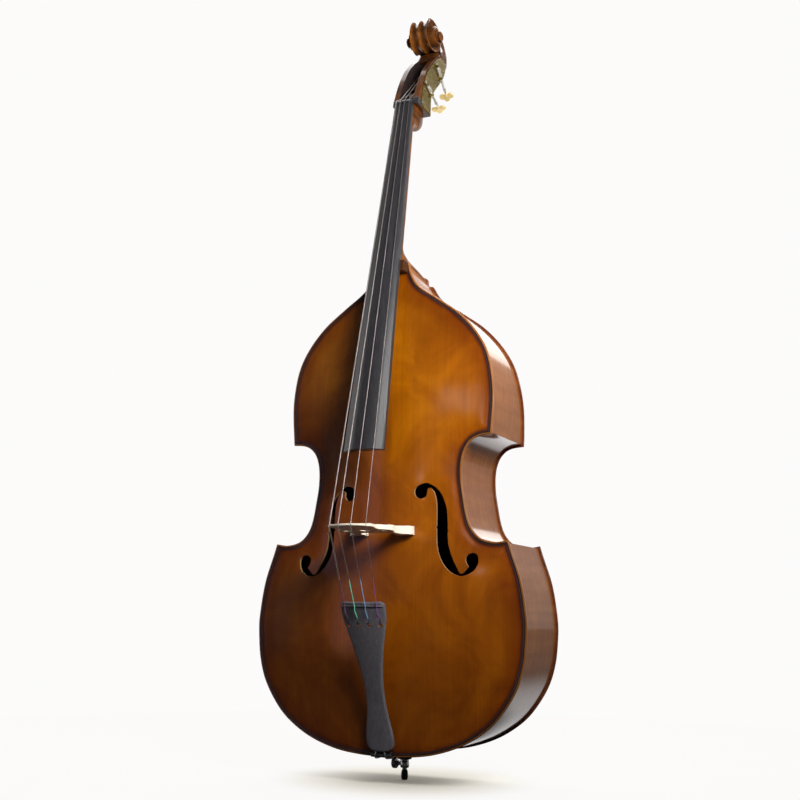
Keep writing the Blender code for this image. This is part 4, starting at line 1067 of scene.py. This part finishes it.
def make_bridge():
    """Carved bridge: pierced by a heart and two kidneys, thinner towards the top, with fitted feet."""
    centre = BRIDGE_CROWN + BRIDGE_RADIUS
    top = [(BRIDGE_RADIUS * sin(a), centre - BRIDGE_RADIUS * cos(a))
           for a in np.radians(np.arange(0, 49, 3.0))]
    side = smooth_run([(0.0515, -0.2835), (0.05, -0.27), (0.0468, -0.255), (0.043, -0.2455),
                       (0.0455, -0.2375), (0.054, -0.23), (0.0625, -0.22), (0.065, -0.207),
                       (0.0615, -0.196), (0.056, -0.189), (0.0532, -0.176), (0.0535, -0.163),
                       (0.0585, -0.153), (0.068, -0.1455), (0.076, -0.1405)], 0.0025)
    arch = smooth_run([(0.037, -0.138), (0.0385, -0.148), (0.0375, -0.16), (0.032, -0.1705),
                       (0.0215, -0.178), (0.0095, -0.1815), (0.0, -0.182)], 0.0025)
    foot = [(0.076, -0.13), (0.066, -0.129), (0.056, -0.129), (0.046, -0.129), (0.0362, -0.129)]
    outline = mirrored(np.vstack([top, side, foot, arch]))
    heart = smooth_run([(0.0, -0.203), (0.0065, -0.209), (0.0125, -0.2165), (0.0115, -0.2245),
                        (0.0055, -0.226), (0.0, -0.22), (-0.0055, -0.226), (-0.0115, -0.2245),
                        (-0.0125, -0.2165), (-0.0065, -0.209)], 0.0022, closed=True)
    kidney = smooth_run([(0.035, -0.212), (0.045, -0.208), (0.052, -0.211), (0.053, -0.218), (0.045, -0.22),
                         (0.036, -0.223), (0.031, -0.218)], 0.0022, closed=True)
    holes = [heart, kidney, kidney * [-1, 1]]
    grid = grid_in(outline, (-0.08, -0.31), (0.08, -0.12), 0.0065, 0.004)
    for hole in holes:
        grid = grid[(loop_distance(grid, hole) > 0.004) & ~inside(grid, hole)]
    extra = np.vstack([grid, ring_points(outline, (0.0004, 0.0012, 0.0024))])

    def skin(flat, sign):
        d = np.min([loop_distance(flat, loop) for loop in [outline] + holes], axis=0)
        rise = (flat[:, 1] - BRIDGE_FOOT) / (BRIDGE_CROWN - BRIDGE_FOOT)
        thick = FOOT_THICK + (CROWN_THICK - FOOT_THICK) * np.clip(rise, 0, 1) ** 0.9
        z = BRIDGE_Z + sign * (thick / 2 - edge_drop(d, 0.0012))
        y = flat[:, 1].copy()
        foot = y > -0.134
        ground = RIB_FRONT - PLATE - 0.0202 + 4.6 * np.maximum(0, np.abs(flat[:, 0]) - 0.02) ** 2 * 0.22
        y[foot] = np.minimum(ground[foot], y[foot] + 0.004)
        return np.stack([flat[:, 0], y, z], 1)

    bm, _, _ = region_mesh(outline, lambda flat: skin(flat, 1), lambda flat: skin(flat, -1), extra, holes)
    publish("bridge_carved", bm, M["bridge"], "bridge", sharp=45)


# ---- tailpiece ------------------------------------------------------------------------
def tail_y(z):
    """Front of the tailpiece on its centre line."""
    knots = smooth_run([(TAIL_FOOT[1] - 0.01, TAIL_FOOT[0] + 0.001), (TAIL_FOOT[1], TAIL_FOOT[0]),
                        (0.125, -0.1375), (TAIL_KNEE[1], TAIL_KNEE[0]), (0.28, -0.1908),
                        (TAIL_TOP[1], TAIL_TOP[0]), (0.395, -0.2348)], 0.004)
    return np.interp(z, knots[:, 0], knots[:, 1])


def make_tailpiece():
    """Bowed tailpiece with keyhole slots for the strings, and the small fret they cross."""
    knots = [(0.0, 0.3845), (0.03, 0.3846), (0.048, 0.385), (0.0528, 0.38), (0.0535, 0.37), (0.05, 0.342),
             (0.0375, 0.295), (0.0275, 0.25), (0.0228, 0.212), (0.0222, 0.178), (0.0262, 0.142),
             (0.0315, 0.112), (0.0332, 0.093), (0.0295, 0.079), (0.019, 0.0712), (0.0, 0.069)]
    outline = mirrored(smooth_run(knots, 0.004))
    holes = []
    for x in TAIL_HOLES.values():
        a = np.radians(np.arange(115, 426, 15.5))
        drop = [(x + 0.005 * cos(t), TAIL_HOLE_Z + 0.005 * sin(t)) for t in a]
        neck = [(x + 0.0018, TAIL_HOLE_Z + 0.0075), (x + 0.0015, TAIL_HOLE_Z + 0.018),
                (x - 0.0015, TAIL_HOLE_Z + 0.018), (x - 0.0018, TAIL_HOLE_Z + 0.0075)]
        holes.append(np.array(drop + neck))
    grid = grid_in(outline, (-0.055, 0.069), (0.055, 0.386), 0.006, 0.01)
    extra = np.vstack([ring_points(outline, (0.0006, 0.0016, 0.003, 0.005, 0.008)), grid])
    for hole in holes:
        extra = extra[(loop_distance(extra, hole) > 0.0016) & ~inside(extra, hole)]

    def front(flat):
        x, z = flat.T
        edge = edge_drop(loop_distance(flat, outline), 0.0042)
        return np.stack([x, tail_y(z) + TAIL_BOW * x * x + edge, z], 1)

    def back(flat):
        x, z = flat.T
        edge = edge_drop(loop_distance(flat, outline), 0.0015)
        return np.stack([x, tail_y(z) + TAIL_THICK + 1.2 * x * x - edge, z], 1)

    bm, _, _ = region_mesh(outline, front, back, extra, holes)
    publish("tailpiece_carved", bm, M["tail"], "tailpiece", sharp=45)
    rings = []
    for x in np.linspace(-0.0508, 0.0508, 29):
        end = 0.0008 if abs(x) > 0.05 else 0.0
        base = float(tail_y(TAIL_FRET_Z - 0.0002)) + TAIL_BOW * x * x
        rings.append([(x, base + 0.0006 + (0.0 if k in (0, 12) else -(0.003 - end) * sin(pi * k / 12)),
                       TAIL_FRET_Z - (0.0019 - end / 2) * cos(pi * k / 12)) for k in range(13)])
    publish("tail_fret", loft_mesh(rings), M["fret"], sharp=50)


# ---- strings --------------------------------------------------------------------------
SILK = {"E": (0.2, 0.09, 0.15), "A": (0.2, 0.78, 0.5), "D": (0.28, 0.55, 0.9), "G": (0.38, 0.1, 0.48)}
WINDINGS, WINDING_STEPS = 4, 24            # turns on each roller, and points in one of them


def bridge_top(x):
    """Top edge of the bridge at x."""
    return BRIDGE_CROWN + BRIDGE_RADIUS - sqrt(BRIDGE_RADIUS**2 - x * x)


def make_strings():
    """Each string from its ball over fret, bridge and nut, and wound on its roller."""
    wire = wound_string("string_steel", (0.86, 0.76, 0.74), 900.0, 0.4)
    for name, (x_bridge, x_nut, radius) in STRINGS.items():
        silk = wound_string(f"silk_{name}", SILK[name], 700.0, 0.7, 0.0)
        x_tail = TAIL_HOLES[name]
        lift = radius + GAP
        hole_y = float(tail_y(TAIL_HOLE_Z)) + TAIL_BOW * x_tail**2
        fret_y = float(tail_y(TAIL_FRET_Z - 0.0002)) + TAIL_BOW * x_tail**2 - 0.0022
        crown = NUT_CROWN + BOARD_RADIUS - sqrt(BOARD_RADIUS**2 - x_nut**2)
        side, *_, roller = tuner_frame(name)
        rise = roller - Vector((crown, NUT_Z))
        normal = Vector((-rise.y, rise.x)).normalized()
        reach = ROLLER_R + radius + 0.0001
        landing = roller + normal * reach
        knots = [(x_tail, hole_y + TAIL_THICK + 0.002, TAIL_HOLE_Z - 0.001),
                 (x_tail, hole_y + 0.003, TAIL_HOLE_Z + 0.001), (x_tail, hole_y - lift, TAIL_HOLE_Z + 0.01),
                 (x_tail, fret_y - lift + 0.001, 0.366), (x_tail, fret_y - lift, TAIL_FRET_Z)]
        over_bridge = [(x_bridge, bridge_top(x_bridge) - radius * 0.7, BRIDGE_Z + dz)
                       for dz in (-0.0024, 0.0024)]
        over_nut = [(x_nut, crown - radius * 0.75, NUT_Z + 0.0008),
                    (x_nut, crown - radius * 0.7, NUT_Z + 0.0048),
                    (x_nut, crown + 0.0012 - radius * 0.7, NUT_Z + 0.0075)]
        path = [Vector(p) for p in knots]
        kinds = [1] * len(knots)

        def run_to(target, steps, silk_part=0.0):
            start = path[-1].copy()
            for k in range(1, steps + 1):
                path.append(start.lerp(Vector(target), k / steps))
                kinds.append(1 if k / steps <= silk_part else 0)

        run_to(over_bridge[0], 12, silk_part=0.36)
        run_to(over_bridge[1], 2)
        run_to(over_nut[0], 60)
        for p in over_nut[1:]:
            run_to(p, 1)
        run_to((x_nut, landing.x, landing.y), 6)
        start_angle = atan2(landing.y - roller.y, landing.x - roller.x)
        spread = -1 if abs(x_nut + side * 0.02) > 0.0165 and x_nut * side > 0 else 1
        spread *= side
        limit = SLOT_X - 0.002
        for k in range(1, WINDINGS * WINDING_STEPS + 1):
            a = start_angle - 2 * pi * k / WINDING_STEPS
            x = max(-limit, min(limit, x_nut + spread * 2.15 * radius * k / WINDING_STEPS))
            path.append(Vector((x, roller.x + reach * cos(a), roller.y + reach * sin(a))))
            kinds.append(0)
        bm = tube_mesh(path, radius, 10, kinds[1:])
        publish(f"string_{name}_wound", bm, [wire, silk], f"string_{name}", sharp=60)
        at = (x_tail - 0.003, hole_y + TAIL_THICK + 0.0035, TAIL_HOLE_Z - 0.001)
        profile = [(0.0014, 0.0), (0.0026, 0.0006), (0.003, 0.0018), (0.003, 0.0042), (0.0026, 0.0054),
                   (0.0014, 0.006)]
        publish(f"string_ball_{name}", turned_mesh(profile, at, (1, 0, 0), 24), M["gear"])


# ---- tuning machines ------------------------------------------------------------------
THREAD_PITCH, THREAD_DEPTH, THREAD_STEPS = 0.0034, 0.0016, 12   # steps: rings in one pitch
TOOTH_DEPTH = 0.0016
MACHINE_PLATE = [(-0.029, 1.5935), (-0.018, 1.654), (0.0085, 1.699), (0.031, 1.726), (0.07, 1.76),
                 (0.096, 1.771), (0.118, 1.765), (0.107, 1.734), (0.088, 1.707), (0.0465, 1.662),
                 (0.0285, 1.6355), (0.025, 1.587)]
PLATE_SCREWS = [(-0.0225, 1.6), (0.0195, 1.5945), (-0.011, 1.6385), (0.026, 1.6605), (0.0245, 1.7065),
                (0.0665, 1.6965), (0.056, 1.74), (0.101, 1.739), (0.109, 1.761)]
SCREW_HEAD = [(0.0026, -0.0004), (0.0026, 0.0004), (0.00208, 0.001), (0.00117, 0.0014), (0.00026, 0.0015)]


def make_machine_plates():
    """Engraved plate, bearing posts and screws on each cheek."""
    edge, rear = smooth_run(MACHINE_PLATE[:7], 0.005), smooth_run(MACHINE_PLATE[6:], 0.005)
    outline = np.vstack([edge, rear[1:]])
    rim = offset_run(np.vstack([outline[-1:], outline, outline[:1]]), 0.0006)[1:-1]
    rim = rim[inside(rim, outline)]
    rim = rim[loop_distance(rim, outline) > 0.0005]
    post = [(0.0052, -0.0005), (0.0046, 0.0022)]
    post += [(0.004 * cos(a), 0.0055 + 0.0035 * sin(a)) for a in np.radians(np.arange(0, 181, 15))]
    post += [(-0.0046, 0.0022), (-0.0052, -0.0005)]
    for side, label in SIDES:
        slots = []
        posts = bmesh.new()
        for name in TUNERS:
            on_side, _, along, across, worm, _ = tuner_frame(name)
            if on_side != side:
                continue
            slots.append(np.array([tuple(worm + along * (WORM_HALF + 0.0005) * a + across * 0.0062 * b)
                                   for a, b in ((-1, -1), (1, -1), (1, 1), (-1, 1))]))
            for end in (-1, 1):
                foot = worm + along * (end * (WORM_HALF + 0.0058))
                rings = []
                for s, shrink in ((-0.0034, 0.92), (-0.0028, 1.0), (0.0028, 1.0), (0.0034, 0.92)):
                    rings.append([(side * (PLATE_X[1] - 0.0004 + h * shrink),
                                   *(foot + along * s + across * (w * shrink)))
                                  for w, h in post])
                part = loft_mesh(rings)
                bmesh.ops.recalc_face_normals(part, faces=part.faces)
                mesh = bpy.data.meshes.new("post")
                part.to_mesh(mesh)
                part.free()
                posts.from_mesh(mesh)
                bpy.data.meshes.remove(mesh)

        def skin(flat, x):
            return np.stack([side * x, flat[:, 0], flat[:, 1]], 1)

        def outer(flat):
            return skin(flat, PLATE_X[1] - np.where(loop_distance(flat, outline) < 0.0004, 0.0005, 0.0))

        def inner(flat):
            return skin(flat, np.full(len(flat), PLATE_X[0]))

        bm, _, _ = region_mesh(outline, outer, inner, rim, slots)
        plate = f"machine_plate_{label}"
        publish(f"{plate}_engraved", bm, M["brass"], plate, sharp=30)
        publish(f"bearing_posts_{label}", posts, M["brass"], sharp=35)
        for k, (y, z) in enumerate(PLATE_SCREWS):
            screw = turned_mesh(SCREW_HEAD, (side * PLATE_X[1], y, z), (side, 0, 0), 20)
            publish(f"plate_screw_{label}_{k}", screw, M["nickel"])


def make_tuner(name):
    """Shaft with its worm, butterfly key, toothed wheel and roller of one string."""
    side, start, along, _, worm, roller = tuner_frame(name)
    axis = Vector((0, *along))
    base = Vector((side * SHAFT_X, *start))
    body = f"tuner_{name}"
    worm_at = (worm - start).length
    profile = [(0.0018, -0.0022), (SHAFT_R, -0.0016), (SHAFT_R, worm_at - WORM_HALF)]
    count = int(2 * WORM_HALF / THREAD_PITCH * THREAD_STEPS)
    first, final = len(profile), len(profile) + count
    profile += [(WORM_R, worm_at - WORM_HALF + 2 * WORM_HALF * k / count) for k in range(count + 1)]
    profile += [(SHAFT_R, worm_at + WORM_HALF), (SHAFT_R, SHAFT_LENGTH - 0.012),
                (SHAFT_R + 0.0008, SHAFT_LENGTH - 0.01), (SHAFT_R + 0.0008, SHAFT_LENGTH - 0.006),
                (SHAFT_R, SHAFT_LENGTH - 0.004), (SHAFT_R, SHAFT_LENGTH), (0.0022, SHAFT_LENGTH + 0.004)]

    def radius_at(angle, index, radius):
        if not first < index < final:
            return radius if index not in (first, final) else SHAFT_R + 0.0002
        wave = (profile[index][1] / THREAD_PITCH - angle / (2 * pi)) % 1.0
        crest = max(0.0, min(1.0, (0.5 - abs(wave - 0.5)) * 4.2 - 0.55))
        return WORM_R - THREAD_DEPTH * (1 - crest)

    shaft = turned_mesh(profile, base, axis, 28, radius_at=radius_at)
    publish(f"worm_shaft_{name}_turned", shaft, M["shaft"], f"worm_shaft_{name}", body, sharp=45)
    middle = base + axis * (SHAFT_LENGTH + 0.01)
    wing = smooth_run([(0.0, -0.0072), (0.0045, -0.0068), (0.009, -0.0078), (0.0145, -0.007),
                       (0.0188, -0.003), (0.019, 0.0025), (0.0155, 0.007), (0.0105, 0.0082),
                       (0.0072, 0.0098), (0.005, 0.0135), (0.0, 0.015)], 0.0012)
    outline = mirrored(wing[::-1])
    across = Vector((1, 0, 0))
    normal = axis.cross(across)
    grid = grid_in(outline, (-0.02, -0.01), (0.02, 0.016), 0.0022, 0.004)
    extra = np.vstack([ring_points(outline, (0.0003, 0.0008, 0.0016, 0.003)), grid])

    def skin(flat, sign):
        d = loop_distance(flat, outline)
        rim = np.sqrt(np.clip(1 - (1 - np.clip(d / 0.0022, 0, 1)) ** 2, 0, 1))
        thick = 0.0017 * rim + 0.0006 * np.clip(d / 0.007, 0, 1)
        boss = 0.0016 * np.exp(-(flat[:, 0] / 0.0035) ** 2) * np.clip((0.004 - flat[:, 1]) / 0.006, 0, 1)
        rise = sign * (thick + boss + 0.0002)
        return np.array([middle + across * u + axis * v + normal * w for (u, v), w in zip(flat, rise)])

    bm, _, _ = region_mesh(outline, lambda flat: skin(flat, 1), lambda flat: skin(flat, -1), extra)
    publish(f"tuner_key_{name}_butterfly", bm, M["gold"], f"tuner_key_{name}", body, sharp=50)
    body = f"roller_{name}"

    def tooth(angle, index, radius):
        if radius < 0.01:
            return radius
        return radius - (TOOTH_DEPTH if sin(angle * GEAR_TEETH) < 0 else 0.0)

    gear = [(JOURNAL_R + GAP, GEAR_X[0]), (GEAR_R, GEAR_X[0]), (GEAR_R, GEAR_X[1]),
            (JOURNAL_R + GAP, GEAR_X[1])]
    bm = turned_mesh(gear, (0, *roller), (side, 0, 0), GEAR_TEETH * 6, bored=True, radius_at=tooth)
    publish(f"gear_{name}_cut", bm, M["gear"], f"gear_{name}", body, sharp=30)
    end = SLOT_X - 0.0008
    profile = [(JOURNAL_R - 0.0005, -0.0285), (JOURNAL_R, -0.028), (JOURNAL_R, -end), (ROLLER_R, -end),
               (ROLLER_R, -0.006), (ROLLER_R, 0.006), (ROLLER_R, end), (JOURNAL_R, end),
               (JOURNAL_R, GEAR_X[1])]
    bm = turned_mesh(profile, (0, *roller), (side, 0, 0), 36)
    node = f"string_roller_{name}"
    publish(f"{node}_turned", bm, M["roller"], node, body, sharp=35)


# ---- saddle, tail wire and endpin -----------------------------------------------------
def make_saddle():
    """Ledge at the bottom of the table that the tail wire bends over."""
    front = RIB_FRONT - PLATE - 0.0012
    profile = smooth_run([(front, 0.0585), (front - 0.008, 0.0582), (front - 0.0108, 0.06),
                          (front - 0.0112, 0.063), (front - 0.0085, 0.0675), (front - 0.003, 0.0698),
                          (front + 0.0002, 0.07)], 0.0012)
    bm = prism_mesh(profile, 0.024)
    publish("saddle_shaped", bm, M["board"], "saddle", bevel=0.0008, sharp=35)


def make_tail_wire():
    """Wire from the tailpiece over the saddle and round the endpin's collar."""
    reach = 0.016 + TAIL_WIRE_R + GAP
    saddle_y = RIB_FRONT - PLATE - 0.0142
    floor = BODY_BOTTOM - GAP - TAIL_WIRE_R
    rib_floor = BODY_BOTTOM + OVERHANG - GAP - 0.0029
    knots = [(0.009, float(tail_y(0.078)) + 0.005, 0.076), (0.0105, saddle_y + 0.0006, 0.0672),
             (0.0118, saddle_y - 0.0002, 0.0625), (0.0128, saddle_y + 0.0036, 0.0575),
             (0.014, RIB_FRONT - PLATE / 2, floor), (0.0155, RIB_FRONT + 0.008, floor),
             (0.017, -0.08, rib_floor), (reach, -0.02, rib_floor)]
    bend = [(reach * cos(a), reach * sin(a), rib_floor) for a in np.radians(np.arange(0, 181, 15))]
    half = [tuple(p) for p in smooth_run(knots, 0.003)]
    path = half + bend + [(-x, y, z) for x, y, z in reversed(half)]
    bm = tube_mesh(path, TAIL_WIRE_R, 12)
    publish("tail_wire_loop", bm, M["steel"], "tail_wire", sharp=60)


def make_endpin():
    """Collar, clamp ring with its thumbscrew, and the sliding rod with its tip."""
    collar = [(ROD_BORE, 0.0442), (0.0132, 0.0442), (0.015, 0.045), (0.016, 0.047), (0.016, 0.058),
              (0.0154, 0.0603), (0.014, 0.0615), (0.0125, 0.062), (0.0115, 0.104), (ROD_BORE, 0.104)]
    publish("endpin_collar_turned", turned_mesh(collar, segments=56, bored=True), M["board"],
            "endpin_collar", sharp=35)
    clamp = [(ROD_BORE, 0.0262), (0.0088, 0.0262), (0.0094, 0.027), (0.0094, 0.0296), (0.0105, 0.0304),
             (0.0105, 0.0402), (0.01, 0.041), (0.01, 0.0437), (ROD_BORE, 0.0437)]
    obj = publish("endpin_clamp_turned", turned_mesh(clamp, segments=56, bored=True), M["nickel"],
                  "endpin_clamp", sharp=35)
    bore = turned_mesh([(0.0028, 0.0), (0.0028, 0.02)], (0, 0, SCREW_Z), (-1, 0, 0), 24)
    carve(obj, [("bore", bore)])
    screw = [(0.0022, 0.0056), (0.0025, 0.006), (0.0025, 0.0128), (0.0052, 0.0134), (0.0056, 0.0142),
             (0.0056, 0.0168), (0.0048, 0.018), (0.008, 0.019), (0.0112, 0.0196), (0.0118, 0.0206),
             (0.0118, 0.0272), (0.0108, 0.0286), (0.006, 0.0294), (0.001, 0.0296)]

    def knurl(angle, index, radius):
        return radius - (0.0006 if radius > 0.0115 and sin(24 * angle) < 0 else 0.0)

    bm = turned_mesh(screw, (0, 0, SCREW_Z), (-1, 0, 0), 96, radius_at=knurl)
    publish("endpin_screw_knurled", bm, M["steel"], "endpin_screw", "endpin_thumbscrew", sharp=35)
    rod = turned_mesh([(0.004, 0.007), (0.005, 0.008), (0.005, 0.3885), (0.004, 0.3898)], segments=40)
    publish("endpin_rod_drawn", rod, M["steel"], "endpin_rod", "endpin", sharp=35)
    tip = [(0.0002, 0.0), (0.0052, 0.0), (0.0064, 0.0008), (0.0071, 0.003), (0.0077, 0.008),
           (0.0077, 0.012), (0.0072, 0.017), (0.0064, 0.0205), (0.0058, 0.0218), (ROD_BORE, 0.022),
           (ROD_BORE, 0.0066), (0.0002, 0.0066)]
    publish("endpin_tip_moulded", turned_mesh(tip, segments=48, bored=True), M["rubber"],
            "endpin_tip", "endpin", sharp=40)


# ---- camera, floor and light ----------------------------------------------------------
BACKDROP = (0.975, 0.965, 0.962)
FLOOR = (0.84, 0.8, 0.7)
ROOM_FRONT, ROOM_BACK, WALL = 0.035, 0.38, 1.2     # how bright each is, seen from the bass
WARM_WHITE = (1.0, 0.985, 0.96)


def make_camera():
    azimuth, elevation, roll = radians(26.169), radians(-11.054), radians(0.906)
    back = Vector((sin(azimuth) * cos(elevation), -cos(azimuth) * cos(elevation), sin(elevation)))
    right = Vector((cos(azimuth), sin(azimuth), 0))
    up = back.cross(right)
    right, up = right * cos(roll) + up * sin(roll), up * cos(roll) - right * sin(roll)
    data = bpy.data.cameras.new("camera")
    data.lens = 51.763
    data.sensor_width = 36.0
    data.clip_start = 0.02
    camera = bpy.data.objects.new("camera", data)
    camera.matrix_world = Matrix((right, up, back)).transposed().to_4x4()
    camera.location = (1.15843, -2.41034, 0.33818)
    bpy.context.scene.collection.objects.link(camera)
    bpy.context.scene.camera = camera


def make_stage():
    """Pale floor: fades into the backdrop colour far off, and is dark in front except to the camera; its
    glow is warmer near the endpin, a painted tint of the shadow there.
    """
    bm = bmesh.new()
    middle = Matrix.Translation((0, 26.6, 0))      # most of it lies behind, out to the horizon
    bmesh.ops.create_grid(bm, x_segments=1, y_segments=1, size=30.0, matrix=middle)
    mesh = bpy.data.meshes.new("floor")
    bm.to_mesh(mesh)
    bm.free()
    floor = bpy.data.objects.new("floor", mesh)
    f = Finish("floor_paper", FLOOR, 0.85, shine=0.1)
    seen = f.node("ShaderNodeLightPath").outputs["Is Camera Ray"]
    far = f.node("ShaderNodeVectorMath", operation="LENGTH")
    f.link(f.place, far.inputs[0])
    distance = far.outputs["Value"]
    place = f.split(f.place)
    extra = f.math("MULTIPLY", f.math("SUBTRACT", 1.0, seen), f.graded(place["Y"], 0.8, 1.5, 0.0, 0.7))
    # the glow is warmer near the endpin: a painted tint of its shadow on the floor
    glow = f.filled("ShaderNodeEmission", 0, {}, Strength=f.math("ADD", 1.0, extra),
                    Color=f.ramp(distance, (0.08, (0.96, 0.91, 0.8)), (0.3, BACKDROP)))
    fade = f.math("MAXIMUM", f.graded(distance, 0.02, 0.32, 0.16, 0.96),
                  f.graded(distance, 0.3, 2.2, 0.0, 1.0))
    sheet = f.choice(fade, f.shader.outputs[0], glow)
    shade = f.filled("ShaderNodeBsdfDiffuse", 0, {}, Color=(0.05, 0.05, 0.05))
    lit = f.math("MULTIPLY", f.graded(place["Y"], 0.2, 0.45, 0.0, 1.0),
                 f.graded(place["X"], 0.3, 0.65, 1.0, 0.08))
    surface = f.choice(f.math("MAXIMUM", seen, lit), shade, sheet)
    f.link(surface, f.tree.nodes["Material Output"].inputs["Surface"])
    mesh.materials.append(f.material)
    bpy.context.scene.collection.objects.link(floor)


def area(name, place, target, size, power, colour=(1, 1, 1), spread=180):
    """Rectangular light at `place`, turned towards `target`."""
    data = bpy.data.lights.new(name, "AREA")
    data.shape = "RECTANGLE"
    data.size, data.size_y = size
    data.energy = power
    data.color = colour
    data.spread = radians(spread)
    obj = bpy.data.objects.new(name, data)
    obj.location = place
    obj.rotation_mode = "QUATERNION"
    obj.rotation_quaternion = (Vector(target) - Vector(place)).to_track_quat("-Z", "Y")
    bpy.context.scene.collection.objects.link(obj)
    return obj


def make_world():
    """Backdrop colour to the camera; to all else a dim room with a white wall behind and to the left."""
    world = bpy.data.worlds.new("studio")
    bpy.context.scene.world = world
    world.use_nodes = True
    f = Nodes(world.node_tree)
    way = f.split(f.node("ShaderNodeTexCoord").outputs["Generated"])
    bearing = f.math("ARCTAN2", way["X"], way["Y"])
    wall = f.graded(bearing, -2.45, -1.9, 0.0, WALL)
    for band in ((bearing, 0.13, 0.19, 1.0, 0.0), (way["Z"], 0.42, 0.5, 1.0, 0.22),
                 (bearing, -0.4, -0.1, 0.5, 2.2)):
        wall = f.math("MULTIPLY", wall, f.graded(*band))
    dim = f.graded(way["Y"], -0.3, 0.6, ROOM_FRONT, ROOM_BACK)
    room = f.tree.nodes["Background"]
    f.link(WARM_WHITE, room.inputs["Color"])
    f.link(f.math("ADD", dim, wall), room.inputs["Strength"])
    plain = f.filled("ShaderNodeBackground", 0, {}, Color=BACKDROP)
    seen = f.node("ShaderNodeLightPath").outputs["Is Camera Ray"]
    f.link(f.choice(seen, room.outputs[0], plain), f.tree.nodes["World Output"].inputs["Surface"])


def make_light():
    make_world()
    place, target = (1.18, -0.98, 1.4), (0.12, -0.1, 1.26)
    key = area("key", place, target, (0.5, 0.5), 14.5, WARM_WHITE, spread=108)
    key.visible_glossy = False
    area("card", place, target, (0.9, 0.9), 9.5, WARM_WHITE, spread=108)
    area("overhead", (-0.8, 1.25, 3.3), (-0.6, 1.1, 0.0), (3.0, 1.6), 76)
    haze = area("haze", (-1.44, -2.47, 0.78), (-0.13, -0.13, 0.54), (0.26, 1.36), 0.85, (0.8, 0.62, 1.0))
    haze.visible_diffuse = False
    area("sheen", (-0.21, -2.47, 1.17), (0.1, -0.12, 0.78), (0.26, 0.3), 0.6)
    bpy.context.scene.view_settings.view_transform = "Standard"


def inner_pieces():
    """Plain wood on the inner pieces that stay as the CAD has them, darkened as painted shade inside the
    body.
    """
    for node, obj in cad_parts.items():
        if node.startswith(("corner_block", "back_brace", "end_block", "bass_bar", "sound_post")):
            obj.data.materials.clear()
            obj.data.materials.append(M["inner"])


make_camera()
make_stage()
make_light()
make_table()
make_back()
make_ribs()
make_inner()
make_purfling()
make_neck_shaft()
make_pegbox()
make_scroll()
make_board()
make_nut()
make_bridge()
make_tailpiece()
make_strings()
make_machine_plates()
for tuner in TUNERS:
    make_tuner(tuner)
make_saddle()
make_tail_wire()
make_endpin()
inner_pieces()
